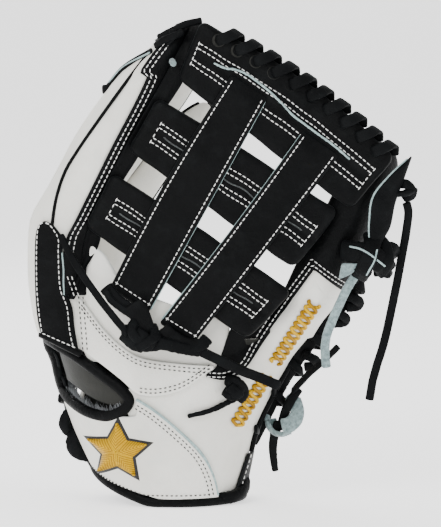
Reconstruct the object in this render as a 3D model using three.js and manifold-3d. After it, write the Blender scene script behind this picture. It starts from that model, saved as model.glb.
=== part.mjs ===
// Baseball outfield glove for the left hand, standing upright on its heel.
// Millimetres. +Z is up through the fingers, -Y is the side of the web's back, +X is the thumb's side.
// The heights and widths were read off the front of the glove, the depths follow from its cupped shape.

import * as THREE from "three";
import { mergeVertices } from "three/addons/utils/BufferGeometryUtils.js";
import Module from "manifold-3d";

const wasm = await Module();
wasm.setup();

// Driving dimensions
const GLOVE_MIDDLE = { x: 4.7, y: 63.5 }; // the middle of the glove's outline seen from above
const GAP = 0.35; // clearance between pieces that touch
const LEATHER = 2.2; // one thickness of shell leather
const STALL_WALL = 2.6; // finger stall: shell leather and its lining
const STALL_FLOOR = 110; // height where the finger stalls open into the hand's hollow
const PALM_TOP = STALL_FLOOR - GAP;
const PALM_CROWN = 4.5; // how far a finger's palm side swells into the pocket
const TIP_LENGTH = 24; // length of the rounded end of a finger
const LACE = { width: 5.6, thickness: 2.4 };
const BINDING = 6; // rolled edge leather, across
const TUBE_SIDES = 8;
const BAND_THICKNESS = 5.4; // rolled crossbar
const POST_THICKNESS = 3.8;
const TOP_LOOPS = 10;
const OVERLAY_LIFT = 1.4; // leather laid on a stall clears the flats between its rings
const STALL_SIDES = 12;
const STALL_LEVELS = 5;
const TIP_LEVELS = 3;

const WHITE = { color: 0xdcdcd4, roughness: 0.55 };
const BLACK = { color: 0x1b1c1e, roughness: 0.62 };
const SUEDE = { color: 0x84989a, roughness: 0.95 };
const FLEECE = { color: 0xcfd3d2, roughness: 1 };

// The pocket's surface, level by level: x and y of each seam line, from the little finger's outer
// edge round to the thumb's outer edge. Below the stall floor the same lines run down the palm.
const POCKET = [
  {
    z: 0, little: [-56, 60], lr: [-50, 75], rm: [-42, 82],
    mi: [-33, 82], iw: [-22, 80], tw: [0, 78], to: [13, 56],
  },
  {
    z: 14, little: [-67, 62], lr: [-60, 81], rm: [-50, 89],
    mi: [-38, 88], iw: [-24, 84], tw: [3, 84], to: [19, 58],
  },
  {
    z: 30, little: [-79, 66], lr: [-71, 87], rm: [-60, 92],
    mi: [-44, 87], iw: [-27, 82], tw: [6, 82], to: [22, 58],
  },
  {
    z: 55, little: [-90, 80], lr: [-84, 96], rm: [-71, 91],
    mi: [-53, 77], iw: [-33, 66], tw: [9, 64], to: [28, 58],
  },
  {
    z: 82, little: [-82, 110], lr: [-86, 98], rm: [-84, 79],
    mi: [-70, 56], iw: [-46, 38], tw: [15, 33], to: [41, 54],
  },
  {
    z: 110, little: [-66, 132], lr: [-86, 108], rm: [-93, 79],
    mi: [-85, 50], iw: [-62, 22], tw: [25, 12], to: [55, 48],
  },
  {
    z: 135, little: [-62, 138], lr: [-86, 113], rm: [-97, 82],
    mi: [-92, 50], iw: [-74, 17], tw: [43, 7], to: [71, 44],
  },
  {
    z: 160, little: [-56, 140], lr: [-82, 117], rm: [-96, 86],
    mi: [-96, 50], iw: [-81, 14], tw: [55, 4], to: [84, 42],
  },
  {
    z: 185, little: [-44, 136], lr: [-72, 116], rm: [-89, 86],
    mi: [-94, 49], iw: [-76, 13], tw: [68, 2], to: [96, 38],
  },
  {
    z: 218, little: [-22, 124], lr: [-48, 108], rm: [-69, 78],
    mi: [-88, 45], iw: [-62, 11], tw: [84, -2], to: [108, 32],
  },
  {
    z: 250, little: [2, 108], lr: [-25, 98], rm: [-48, 72],
    mi: [-73, 39], iw: [-45, 9], tw: [95, -4], to: [118, 27],
  },
  {
    z: 280, little: [20, 96], lr: [-6, 86], rm: [-28, 64],
    mi: [-53, 34.5], iw: [-28, 8], tw: [104, -5], to: [126, 24],
  },
  {
    z: 310, little: [36, 86], lr: [9, 78], rm: [-11, 56],
    mi: [-35, 30], iw: [-12, 7], tw: [112, -6], to: [134, 22],
  },
];
const SEAMS = ["little", "lr", "rm", "mi", "iw", "tw", "to"];

// Each stall lies between two seam lines; its back swells away from the pocket by the depth given.
const STALLS = [
  { name: "index_finger", inner: "iw", outer: "mi", tip: 314, depth: [29, 24], turn: -1 },
  { name: "middle_finger", inner: "mi", outer: "rm", tip: 300, depth: [26, 23], turn: -1 },
  { name: "ring_finger", inner: "rm", outer: "lr", tip: 282, depth: [25, 22], turn: -1 },
  { name: "little_finger", inner: "lr", outer: "little", tip: 256, depth: [24, 21], turn: -1 },
  { name: "thumb", inner: "tw", outer: "to", tip: 236, depth: [25, 19], turn: 1 },
];

// The hand's hollow in front: half ovals from the left side round the front to the right side.
const FRONT = [
  { z: 0, left: -66, right: 17, front: 4, side: 44 },
  { z: 20, left: -78, right: 21, front: 0, side: 50 },
  { z: 45, left: -90, right: 27, front: -3, side: 54 },
  { z: 70, left: -99, right: 39, front: -4, side: 57 },
  { z: 90, left: -105, right: 50, front: -4, side: 58 },
  { z: 112, left: -112, right: 61, front: -3, side: 58 },
];

// Wrist strap: its upper and lower edge at each place round the front oval, in degrees from the left side.
const STRAP_EDGE = [
  { turn: -30, low: 22, high: 74 },
  { turn: 0, low: 17, high: 69 },
  { turn: 30, low: 9, high: 61 },
  { turn: 55, low: 2.5, high: 56.5 },
  { turn: 68, low: 0, high: 62 },
  { turn: 80, low: 0, high: 71 },
  { turn: 120, low: 0, high: 71 },
];
// The strap's sewn end, a curve across the back of the hand.
const STRAP_SEAM = [
  { z: 0, x: 2.5 },
  { z: 18, x: -1.5 },
  { z: 33, x: -8.5 },
  { z: 56, x: -29 },
  { z: 73, x: -51 },
];

// Web bands: corners in the picture plane, upper and lower edge from the finger's side to the thumb's.
const CROSSBARS = [
  { name: "crossbar_top", upper: [[-9, 317], [116, 229]], lower: [[-24, 279], [87, 195]], bow: 6.5 },
  { name: "crossbar_middle", upper: [[-37, 267], [80, 194]], lower: [[-56, 233], [51, 157]], bow: 1.5 },
  { name: "crossbar_low", upper: [[-66, 218], [50, 142]], lower: [[-84, 183], [21, 111]], bow: 1.5 },
];
const POSTS = [
  { name: "post_left", foot: [[-66, 144], [-39, 124]], head: [[11, 283], [34, 268]], bow: 3 },
  { name: "post_right", foot: [[-34, 120], [-9, 111]], head: [[57, 247], [80, 231]], bow: -1 },
];

// Smooth curve through a table: value at a key, with the slopes taken from the neighbours.
function track(rows, key, read) {
  const keys = rows.map((row) => row[key]);
  const values = rows.map(read);
  const slope = keys.map((_, i) => {
    const before = Math.max(i - 1, 0);
    const after = Math.min(i + 1, keys.length - 1);
    return (values[after] - values[before]) / (keys[after] - keys[before]);
  });
  return (k) => {
    let i = 0;
    while (i < keys.length - 2 && k > keys[i + 1]) i += 1;
    const span = keys[i + 1] - keys[i];
    const t = THREE.MathUtils.clamp((k - keys[i]) / span, 0, 1);
    const s = 1 - t;
    return (
      values[i] * (1 + 2 * t) * s * s +
      slope[i] * span * t * s * s +
      values[i + 1] * t * t * (3 - 2 * t) -
      slope[i + 1] * span * t * t * s
    );
  };
}

const seamLine = Object.fromEntries(
  SEAMS.map((name) => {
    const x = track(POCKET, "z", (row) => row[name][0]);
    const y = track(POCKET, "z", (row) => row[name][1]);
    return [name, (z) => new THREE.Vector2(x(z), y(z))];
  }),
);

// A closed geometry from corners and triangles, turned so that its faces point outwards.
function closedGeometry(corners, triangles) {
  let volume = 0;
  for (const [a, b, c] of triangles) {
    volume += corners[a].dot(new THREE.Vector3().crossVectors(corners[b], corners[c]));
  }
  const turned = volume < 0 ? triangles.map(([a, b, c]) => [a, c, b]) : triangles;
  const geometry = new THREE.BufferGeometry();
  geometry.setAttribute("position", new THREE.Float32BufferAttribute(corners.flatMap((p) => p.toArray()), 3));
  geometry.setIndex(turned.flat());
  return geometry;
}

// A wall over a rectangular patch: surface(s, t, offset) for s and t from 0 to 1, between two offsets.
function wall(surface, columns, rows, near, far) {
  const corners = [];
  const triangles = [];
  const at = (side, i, j) => (side * (rows + 1) + j) * (columns + 1) + i;
  for (const offset of [near, far]) {
    for (let j = 0; j <= rows; j += 1) {
      for (let i = 0; i <= columns; i += 1) corners.push(surface(i / columns, j / rows, offset));
    }
  }
  const quad = (a, b, c, d) => triangles.push([a, b, c], [a, c, d]);
  for (let j = 0; j < rows; j += 1) {
    for (let i = 0; i < columns; i += 1) {
      quad(at(0, i, j), at(0, i + 1, j), at(0, i + 1, j + 1), at(0, i, j + 1));
      quad(at(1, i, j + 1), at(1, i + 1, j + 1), at(1, i + 1, j), at(1, i, j));
    }
  }
  for (let i = 0; i < columns; i += 1) {
    quad(at(1, i, 0), at(1, i + 1, 0), at(0, i + 1, 0), at(0, i, 0));
    quad(at(0, i, rows), at(0, i + 1, rows), at(1, i + 1, rows), at(1, i, rows));
  }
  for (let j = 0; j < rows; j += 1) {
    quad(at(0, 0, j), at(0, 0, j + 1), at(1, 0, j + 1), at(1, 0, j));
    quad(at(1, columns, j), at(1, columns, j + 1), at(0, columns, j + 1), at(0, columns, j));
  }
  return closedGeometry(corners, triangles);
}

// Closed solids, for cutting one piece clear of another and for joining the turns of a knot.
function solidOf(geometry) {
  const bare = geometry.clone();
  bare.deleteAttribute("normal");
  bare.deleteAttribute("uv");
  const merged = mergeVertices(bare, 1e-4);
  return new wasm.Manifold(
    new wasm.Mesh({
      numProp: 3,
      vertProperties: new Float32Array(merged.attributes.position.array),
      triVerts: new Uint32Array(merged.index.array),
    }),
  );
}

function geometryOf(solid) {
  const mesh = solid.getMesh();
  const geometry = new THREE.BufferGeometry();
  geometry.setAttribute("position", new THREE.BufferAttribute(new Float32Array(mesh.vertProperties), 3));
  geometry.setIndex(new THREE.BufferAttribute(new Uint32Array(mesh.triVerts), 1));
  return geometry;
}

// The largest body of a solid: a cut may leave slivers beside it.
function mainBody(solid) {
  return solid.decompose().reduce((best, body) => (body.volume() > best.volume() ? body : best));
}

function cutClear(geometry, ...others) {
  const left = others.reduce((body, other) => body.subtract(solidOf(other)), solidOf(geometry));
  return geometryOf(mainBody(left));
}

function joined(...geometries) {
  return geometryOf(geometries.map(solidOf).reduce((body, part) => body.add(part)));
}

// Finger stalls: level rings round the chord between two seam lines.
function stallFrame(stall, z) {
  const inner = seamLine[stall.inner](z);
  const outer = seamLine[stall.outer](z);
  const across = inner.clone().sub(outer);
  const half = across.length() / 2 - 0.8;
  across.normalize();
  const outward = new THREE.Vector2(-across.y, across.x).multiplyScalar(stall.turn);
  return { middle: inner.add(outer).multiplyScalar(0.5), across, outward, half };
}

// A point on a stall: 0 degrees at its inner seam, 90 at the middle of its back, 180 at its outer seam.
function stallPoint(stall, degrees, z, offset) {
  const { middle, across, outward, half } = stallFrame(stall, z);
  const tip = stall.tip + offset;
  const shoulder = stall.tip - TIP_LENGTH;
  const fade = z > shoulder ? Math.sqrt(Math.max(1 - ((z - shoulder) / (tip - shoulder)) ** 2, 0)) : 1;
  const rise = (z - STALL_FLOOR) / (stall.tip - STALL_FLOOR);
  const back = THREE.MathUtils.lerp(stall.depth[0], stall.depth[1], rise);
  const angle = THREE.MathUtils.degToRad(degrees);
  const wide = Math.sign(Math.cos(angle)) * Math.abs(Math.cos(angle)) ** 0.85 * (half + offset) * fade;
  const swell = Math.sin(angle) > 0 ? back : PALM_CROWN;
  const deep = Math.sign(Math.sin(angle)) * Math.abs(Math.sin(angle)) ** 0.85 * (swell + offset) * fade;
  return new THREE.Vector3(
    middle.x + across.x * wide + outward.x * deep,
    middle.y + across.y * wide + outward.y * deep,
    z,
  );
}

// Heights of a stall's rings, closing up towards the tip.
function stallLevels(stall, offset) {
  const shoulder = stall.tip - TIP_LENGTH;
  const levels = [];
  for (let j = 0; j < STALL_LEVELS; j += 1) {
    levels.push(THREE.MathUtils.lerp(STALL_FLOOR, shoulder, j / STALL_LEVELS));
  }
  for (let j = 0; j < TIP_LEVELS; j += 1) {
    const swing = ((j / TIP_LEVELS) * Math.PI) / 2;
    levels.push(shoulder + (TIP_LENGTH + offset) * Math.sin(swing));
  }
  return levels;
}

function stallSkin(stall, offset, corners) {
  const first = corners.length;
  const levels = stallLevels(stall, offset);
  for (const z of levels) {
    for (let i = 0; i < STALL_SIDES; i += 1) {
      corners.push(stallPoint(stall, (360 * i) / STALL_SIDES, z, offset));
    }
  }
  corners.push(stallPoint(stall, 0, stall.tip + offset, offset));
  const at = (i, j) => first + j * STALL_SIDES + (i % STALL_SIDES);
  const triangles = [];
  for (let i = 0; i < STALL_SIDES; i += 1) {
    for (let j = 0; j < levels.length - 1; j += 1) {
      triangles.push([at(i, j), at(i + 1, j), at(i + 1, j + 1)], [at(i, j), at(i + 1, j + 1), at(i, j + 1)]);
    }
    triangles.push([at(i, levels.length - 1), at(i + 1, levels.length - 1), corners.length - 1]);
  }
  return triangles;
}

// A hollow stall, closed at its tip and open at its foot.
function hollowStall(stall) {
  const corners = [];
  const triangles = stallSkin(stall, 0, corners);
  const inside = corners.length;
  for (const [a, b, c] of stallSkin(stall, -STALL_WALL, corners)) triangles.push([a, c, b]);
  for (let i = 0; i < STALL_SIDES; i += 1) {
    const next = (i + 1) % STALL_SIDES;
    triangles.push([i, inside + i, inside + next], [i, inside + next, next]);
  }
  return closedGeometry(corners, triangles);
}

// The same stall as a plain full body, grown all round, to cut its neighbours clear of it.
function stallClearance(stall, grow) {
  const corners = [];
  const triangles = stallSkin(stall, grow, corners);
  const foot = corners.push(stallPoint(stall, 90, STALL_FLOOR, -stall.depth[0] / 2)) - 1;
  for (let i = 0; i < STALL_SIDES; i += 1) triangles.push([(i + 1) % STALL_SIDES, i, foot]);
  return closedGeometry(corners, triangles);
}

// Leather laid over a stall between two angles that may change with the height.
// Grown, it also reaches past its edges, to cut its neighbours clear of it.
function stallOverlay(stall, angles, heights, columns, rows, lift, grow) {
  return wall(
    (s, t, offset) => {
      const [from, to] = angles(t);
      const degrees = THREE.MathUtils.lerp(from - 2 * grow, to + 2 * grow, s);
      const [low, high] = heights(s);
      const height = THREE.MathUtils.lerp(low - grow, high + grow, Math.sin((Math.PI / 2) * t));
      return stallPoint(stall, degrees, height, offset);
    },
    columns,
    rows,
    lift - grow,
    lift + LEATHER + grow,
  );
}

// The hand's front, from the left side (0 degrees) over the front (90) to the right side (180).
const frontTrack = Object.fromEntries(
  ["left", "right", "front", "side"].map((name) => [name, track(FRONT, "z", (row) => row[name])]),
);

function frontPoint(degrees, z, offset) {
  const level = Math.min(z, FRONT[FRONT.length - 1].z);
  const left = frontTrack.left(level) - offset;
  const right = frontTrack.right(level) + offset;
  const side = frontTrack.side(level);
  const depth = side - frontTrack.front(level) + offset;
  const angle = THREE.MathUtils.degToRad(degrees);
  const middle = (left + right) / 2;
  const half = (right - left) / 2;
  return new THREE.Vector3(middle - half * Math.cos(angle), side - depth * Math.sin(angle), z);
}

// The angle at which the front passes a given x.
function frontAngle(x, z) {
  const left = frontTrack.left(z);
  const right = frontTrack.right(z);
  const share = ((left + right) / 2 - x) / ((right - left) / 2);
  return THREE.MathUtils.radToDeg(Math.acos(THREE.MathUtils.clamp(share, -1, 1)));
}

// The palm: the seam lines read across at one height, with the normal pointing into the pocket.
function palmPoint(s, z, offset, slide = 0) {
  const place = s * (SEAMS.length - 1);
  const line = SEAMS.map((name, i) => ({ i, at: seamLine[name](z) }));
  const x = track(line, "i", (row) => row.at.x);
  const y = track(line, "i", (row) => row.at.y);
  const step = 0.02;
  const along = new THREE.Vector2(x(place + step) - x(place - step), y(place + step) - y(place - step));
  along.normalize();
  return new THREE.Vector3(
    x(place) - along.y * offset + along.x * slide,
    y(place) + along.x * offset + along.y * slide,
    z,
  );
}

// The web's sheet bulges towards the back of the glove between the finger and the thumb.
const WEB = { left: -80, right: 110, yLeft: 7, yRight: -7, bulge: 9 };
function webDepth(x) {
  const t = THREE.MathUtils.clamp((x - WEB.left) / (WEB.right - WEB.left), 0, 1);
  return THREE.MathUtils.lerp(WEB.yLeft, WEB.yRight, t) - WEB.bulge * Math.sin(Math.PI * t);
}

// A strap of the web between two edges, each a straight line with a bow.
function webBand(first, second, bow, columns, rows, near, far) {
  return wall(
    (s, t, offset) => {
      const bent = bow * Math.sin(Math.PI * s);
      const a = new THREE.Vector2(...first[0]).lerp(new THREE.Vector2(...first[1]), s);
      const b = new THREE.Vector2(...second[0]).lerp(new THREE.Vector2(...second[1]), s);
      const spot = a.lerp(b, t);
      const rise = new THREE.Vector2(first[0][1] - first[1][1], first[1][0] - first[0][0]).normalize();
      spot.addScaledVector(rise, bent * (1 - t));
      const rounded = 1 - 0.4 * Math.abs(2 * t - 1) ** 2;
      return new THREE.Vector3(spot.x, webDepth(spot.x) - offset * rounded, spot.y);
    },
    columns,
    rows,
    near,
    far,
  );
}

// A flat thong swept along hand-set points; its face is turned towards a given direction.
function thong(points, { width, thickness } = LACE, face = [0, -1, 0], steps = 10) {
  const curve = new THREE.CatmullRomCurve3(points.map((p) => new THREE.Vector3(...p)), false, "centripetal");
  const facing = new THREE.Vector3(...face).normalize();
  const outline = [[-0.5, -0.5], [0.5, -0.5], [0.5, 0.5], [-0.5, 0.5]];
  const corners = [];
  const triangles = [];
  const sides = outline.length;
  for (let j = 0; j <= steps; j += 1) {
    const tangent = curve.getTangentAt(j / steps);
    const side = new THREE.Vector3().crossVectors(tangent, facing).normalize();
    const up = new THREE.Vector3().crossVectors(side, tangent);
    const centre = curve.getPointAt(j / steps);
    for (const [a, b] of outline) {
      corners.push(centre.clone().addScaledVector(side, a * width).addScaledVector(up, b * thickness));
    }
  }
  for (let j = 0; j < steps; j += 1) {
    for (let i = 0; i < sides; i += 1) {
      const a = j * sides + i;
      const b = j * sides + ((i + 1) % sides);
      triangles.push([a, b, b + sides], [a, b + sides, a + sides]);
    }
  }
  for (let i = 1; i < sides - 1; i += 1) {
    triangles.push([0, i + 1, i], [steps * sides, steps * sides + i, steps * sides + i + 1]);
  }
  return closedGeometry(corners, triangles);
}

// An eight-sided tube along hand-set points, for a rolled edge or a free lace end.
function tube(points, steps, width) {
  const section = new THREE.Shape();
  for (let i = 0; i < TUBE_SIDES; i += 1) {
    const angle = (2 * Math.PI * (i + 0.5)) / TUBE_SIDES;
    const x = (width / 2) * Math.cos(angle);
    const y = (width / 2) * Math.sin(angle);
    if (i === 0) section.moveTo(x, y);
    else section.lineTo(x, y);
  }
  section.closePath();
  const extrudePath = new THREE.CatmullRomCurve3(points);
  return new THREE.ExtrudeGeometry(section, { steps, bevelEnabled: false, extrudePath });
}

const glove = new THREE.Group();
function add(name, geometry, look) {
  const mesh = new THREE.Mesh(geometry, new THREE.MeshStandardMaterial({ ...look, metalness: 0 }));
  mesh.name = name;
  glove.add(mesh);
  return mesh;
}

// Fingers and thumb
const stallNamed = Object.fromEntries(STALLS.map((stall) => [stall.name, stall]));
const index = stallNamed.index_finger;
const thumb = stallNamed.thumb;
for (const stall of STALLS) add(stall.name, hollowStall(stall), WHITE);
const clearOfIndex = stallClearance(index, GAP);
const clearOfThumb = stallClearance(thumb, GAP);

// Black pad on the back of the index finger, with a round top.
const PAD = { foot: 112, shoulder: 158, top: 186, from: 28, to: 152 };
const fingerPad = (grow) =>
  stallOverlay(
    index,
    () => [PAD.from, PAD.to],
    (s) => {
      const round = Math.sqrt(Math.max(1 - (2 * s - 1) ** 2, 0.01));
      return [PAD.foot, THREE.MathUtils.lerp(PAD.shoulder, PAD.top, round)];
    },
    8,
    5,
    OVERLAY_LIFT,
    grow,
  );
add("finger_pad", fingerPad(0), BLACK);

// Black strip down the index finger's web side, running up over the fingertip.
const WEB_STRIP = { foot: 152, top: 300, behind: -55, before: 31 };
const indexStrip = (grow) =>
  stallOverlay(
    index,
    (t) => [WEB_STRIP.behind, THREE.MathUtils.lerp(WEB_STRIP.before - 6, WEB_STRIP.before + 12, t)],
    () => [WEB_STRIP.foot, WEB_STRIP.top],
    4,
    8,
    OVERLAY_LIFT,
    grow,
  );
add("index_web_strip", cutClear(indexStrip(0), clearOfIndex, fingerPad(GAP)), BLACK);

// Black cover of the thumb: a strip on its web side below, all round its back above.
const THUMB_COVER = {
  foot: 113, corner: 156, top: 231, behind: -50, strip: 34, around: 186, slope: 0.12,
};
const thumbCover = (grow) =>
  stallOverlay(
    thumb,
    () => [THUMB_COVER.behind, THUMB_COVER.around],
    (s) => {
      const degrees = THREE.MathUtils.lerp(THUMB_COVER.behind, THUMB_COVER.around, s);
      const past = degrees - THUMB_COVER.strip;
      return [past > 0 ? THUMB_COVER.corner - THUMB_COVER.slope * past : THUMB_COVER.foot, THUMB_COVER.top];
    },
    11,
    7,
    OVERLAY_LIFT,
    grow,
  );
add("thumb_cover", thumbCover(0), BLACK);

// The rolled binding round the wrist window, which is open towards the back of the hand's edge.
const WINDOW_PATH = [
  { turn: -24, z: 103 },
  { turn: 0, z: 105 },
  { turn: 22, z: 103 },
  { turn: 40, z: 97 },
  { turn: 56, z: 86 },
  { turn: 68, z: 77 },
  { turn: 73, z: 70 },
  { turn: 68, z: 63 },
  { turn: 55, z: 58.5 },
  { turn: 32, z: 62 },
  { turn: 0, z: 70 },
  { turn: -22, z: 75 },
];
const windowCurve = WINDOW_PATH.map(({ turn, z }) => frontPoint(turn, z, 0.5));
const windowBinding = (width) => tube(windowCurve, 20, width);
add("window_binding", windowBinding(BINDING), BLACK);
const clearOfWindow = windowBinding(BINDING + 2 * GAP);

// Lower edge of the front leather, and the rolled binding along it.
const edgeLow = track(STRAP_EDGE, "turn", (row) => row.low);
const edgeHigh = track(STRAP_EDGE, "turn", (row) => row.high);
const bindingPath = [];
for (let turn = -16; turn <= 176; turn += 12) {
  bindingPath.push(frontPoint(turn, edgeLow(turn) + BINDING / 2 + 0.15, 0.5));
}
add("bottom_binding", tube(bindingPath, 16, BINDING), BLACK);

// The palm: padded, thickest at the heel, thin at its two long edges.
const PALM = { heel: 12, pocket: 7.5, edge: 3, columns: 18, rows: 9 };
const palmWall = (grow) =>
  wall(
    (s, t, side) => {
      const z = THREE.MathUtils.lerp(0, PALM_TOP, t);
      const padded = THREE.MathUtils.lerp(PALM.heel, PALM.pocket, THREE.MathUtils.smoothstep(z, 20, 80));
      const thickness = PALM.edge + (padded - PALM.edge) * Math.sin(Math.PI * s) ** 0.6;
      return palmPoint(s, z, side === 0 ? grow : -thickness - grow, (2 * s - 1) * grow);
    },
    PALM.columns,
    PALM.rows,
    0,
    1,
  );
add("palm", palmWall(0), WHITE);
const clearOfPalm = palmWall(GAP);

// The back leather: from the wrist window and under the strap to the thumb's outer edge.
const SHELL_LEFT = [
  { z: 0, x: -6 },
  { z: 33, x: -17 },
  { z: 56, x: -37 },
  { z: 70, x: -50 },
  { z: 85, x: -63 },
  { z: 98, x: -84 },
  { z: 110, x: -100 },
];
const shellLeft = track(SHELL_LEFT, "z", (row) => row.x);
const SHELL_RIGHT = 171;
const backShell = (grow) =>
  wall(
    (s, t, offset) => {
      const low = edgeLow(THREE.MathUtils.lerp(75, SHELL_RIGHT, s)) + BINDING + GAP;
      const z = THREE.MathUtils.lerp(low - grow, PALM_TOP + grow, t);
      const turn = THREE.MathUtils.lerp(frontAngle(shellLeft(z), z) - grow, SHELL_RIGHT + grow, s);
      return frontPoint(turn, z, offset);
    },
    12,
    8,
    -LEATHER - grow,
    grow,
  );
add("back_shell", cutClear(backShell(0), clearOfPalm, clearOfWindow), WHITE);

// The wrist strap lies over the back leather up to its curved seam.
const strapSeam = track(STRAP_SEAM, "z", (row) => row.x);
const STRAP_LEFT = -18;
const STRAP_MIDDLE = 40;
const strap = wall(
  (s, t, offset) => {
    const halfway = frontAngle(strapSeam(STRAP_MIDDLE), STRAP_MIDDLE);
    const guess = THREE.MathUtils.lerp(STRAP_LEFT, THREE.MathUtils.lerp(104, 68, t), s);
    const z = THREE.MathUtils.lerp(edgeLow(guess) + BINDING + GAP, edgeHigh(Math.min(guess, halfway)), t);
    return frontPoint(THREE.MathUtils.lerp(STRAP_LEFT, frontAngle(strapSeam(z), z), s), z, offset);
  },
  12,
  4,
  GAP,
  GAP + LEATHER,
);
add("wrist_strap", cutClear(strap, backShell(GAP), clearOfPalm, clearOfWindow), WHITE);

// Fleece on the inside of the strap.
const FLEECE_PAD = { from: -14, to: 60, thickness: 5 };
const fleece = wall(
  (s, t, offset) => {
    const turn = THREE.MathUtils.lerp(FLEECE_PAD.from, FLEECE_PAD.to, s);
    return frontPoint(turn, THREE.MathUtils.lerp(edgeLow(turn) + BINDING + 4, edgeHigh(turn) - 2, t), offset);
  },
  10,
  3,
  -FLEECE_PAD.thickness,
  0,
);
add("fleece_lining", cutClear(fleece, clearOfPalm, clearOfWindow), FLEECE);

// The curved patch under the web, a lens laid over the back leather.
const PATCH_EDGE = [
  { x: -84, low: 102, high: 132 },
  { x: -72, low: 94, high: 117 },
  { x: -60, low: 84, high: 105 },
  { x: -48, low: 75, high: 98.5 },
  { x: -24, low: 77, high: 95 },
  { x: -2, low: 90.5, high: 92.5 },
];
const patchLow = track(PATCH_EDGE, "x", (row) => row.low);
const patchHigh = track(PATCH_EDGE, "x", (row) => row.high);
const FRONT_TOP = FRONT[FRONT.length - 1].z;
const frontAt = (x, z, offset) => frontPoint(frontAngle(x, Math.min(z, FRONT_TOP)), z, offset);
const patch = (grow) =>
  wall(
    (s, t, offset) => {
      const x = THREE.MathUtils.lerp(-84 - grow, -2 + grow, s);
      return frontAt(x, THREE.MathUtils.lerp(patchLow(x) - grow, patchHigh(x) + grow, t), offset);
    },
    12,
    4,
    GAP,
    GAP + LEATHER + grow,
  );
add("web_base_patch", cutClear(patch(0), clearOfIndex, fingerPad(GAP), clearOfWindow), WHITE);

// The seat of the web: white leather in a U between the index finger and the thumb.
const SEAT_RIM = [
  { x: -82, rim: 172 },
  { x: -72, rim: 164 },
  { x: -62, rim: 149 },
  { x: -50, rim: 141 },
  { x: -36, rim: 136 },
  { x: -16, rim: 129 },
  { x: 2, rim: 125 },
  { x: 12, rim: 125 },
  { x: 20, rim: 129 },
];
const seatRim = track(SEAT_RIM, "x", (row) => row.rim);
const seat = (grow) =>
  wall(
    (s, t, side) => {
      const x = THREE.MathUtils.lerp(-82 - grow, 20 + grow, s);
      const z = THREE.MathUtils.lerp(PALM_TOP + GAP - grow, seatRim(x) + grow, t);
      const padded = 3 + 12 * (1 - t) ** 2;
      return frontAt(x, z, side === 0 ? grow - 0.2 : -padded - grow);
    },
    12,
    3,
    0,
    1,
  );
const overlaid = [clearOfIndex, indexStrip(GAP), fingerPad(GAP), clearOfThumb, thumbCover(GAP)];
add("web_seat", cutClear(seat(0), ...overlaid, patch(GAP)), WHITE);

// The web's crossbars and posts
const barBand = ({ upper, lower, bow }, half) => webBand(upper, lower, bow, 10, 2, -half, half);
for (const bar of CROSSBARS) add(bar.name, cutClear(barBand(bar, BAND_THICKNESS / 2), ...overlaid), BLACK);
const clearOfBars = CROSSBARS.map((bar) => barBand(bar, BAND_THICKNESS / 2 + GAP));
const postBack = BAND_THICKNESS / 2;
const postBand = ({ foot, head, bow }, grow) => {
  const edges = [[foot[0], head[0]], [foot[1], head[1]]];
  return webBand(...edges, bow, 7, 2, postBack - grow, postBack + POST_THICKNESS + grow);
};
for (const post of POSTS) add(post.name, cutClear(postBand(post, 0), ...clearOfBars), BLACK);
const clearOfPosts = POSTS.map((post) => postBand(post, GAP));

// The lace's turns over the web's top edge
const topBar = CROSSBARS[0];
for (let i = 0; i < TOP_LOOPS; i += 1) {
  const s = 0.14 + (0.8 * i) / (TOP_LOOPS - 1);
  const x = THREE.MathUtils.lerp(topBar.upper[0][0], topBar.upper[1][0], s);
  const bowed = topBar.bow * Math.sin(Math.PI * s);
  const z = THREE.MathUtils.lerp(topBar.upper[0][1], topBar.upper[1][1], s) + bowed;
  const reach = BAND_THICKNESS / 2 + LACE.thickness / 2 + GAP;
  const y = webDepth(x);
  const path = [
    [x - 6, y - reach, z - 9],
    [x - 2, y - reach - 0.2, z - 2.5],
    [x + 1, y - reach * 0.5, z + LACE.thickness],
    [x + 2.5, y + reach * 0.5, z + LACE.thickness],
    [x + 3, y + reach + 0.2, z - 3],
    [x + 1, y + reach, z - 9],
  ];
  const overEdge = thong(path, LACE, [0.55, 0, 0.83], 6);
  const turn = cutClear(overEdge, clearOfBars[0], thumbCover(GAP), indexStrip(GAP));
  add(`top_loop_${String(i + 1).padStart(2, "0")}`, turn, BLACK);
}

// Lacing across the seams between the fingers near their tips.
const FINGER_LACES = [
  { pair: ["index_finger", "middle_finger"], z: 268 },
  { pair: ["middle_finger", "ring_finger"], z: 256 },
  { pair: ["ring_finger", "little_finger"], z: 236 },
];
const laceLift = LACE.thickness / 2 + GAP + 0.3;
for (const { pair, z } of FINGER_LACES) {
  const [near, far] = pair.map((name) => stallNamed[name]);
  const between = seamLine[near.outer](z);
  const frame = stallFrame(near, z);
  const names = pair.map((name) => name.replace("_finger", "")).join("_");
  const mid = between.clone().addScaledVector(frame.outward, 9);
  const path = [
    stallPoint(near, 128, z + 3, laceLift).toArray(),
    stallPoint(near, 150, z + 1.5, laceLift).toArray(),
    [mid.x, mid.y, z],
    stallPoint(far, 30, z - 1.5, laceLift).toArray(),
    stallPoint(far, 52, z - 3, laceLift).toArray(),
  ];
  const lace = thong(path, LACE, [frame.outward.x, frame.outward.y, 0.1], 6);
  add(`lace_${names}`, cutClear(lace, ...pair.map((name) => stallClearance(stallNamed[name], GAP))), BLACK);
}

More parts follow.
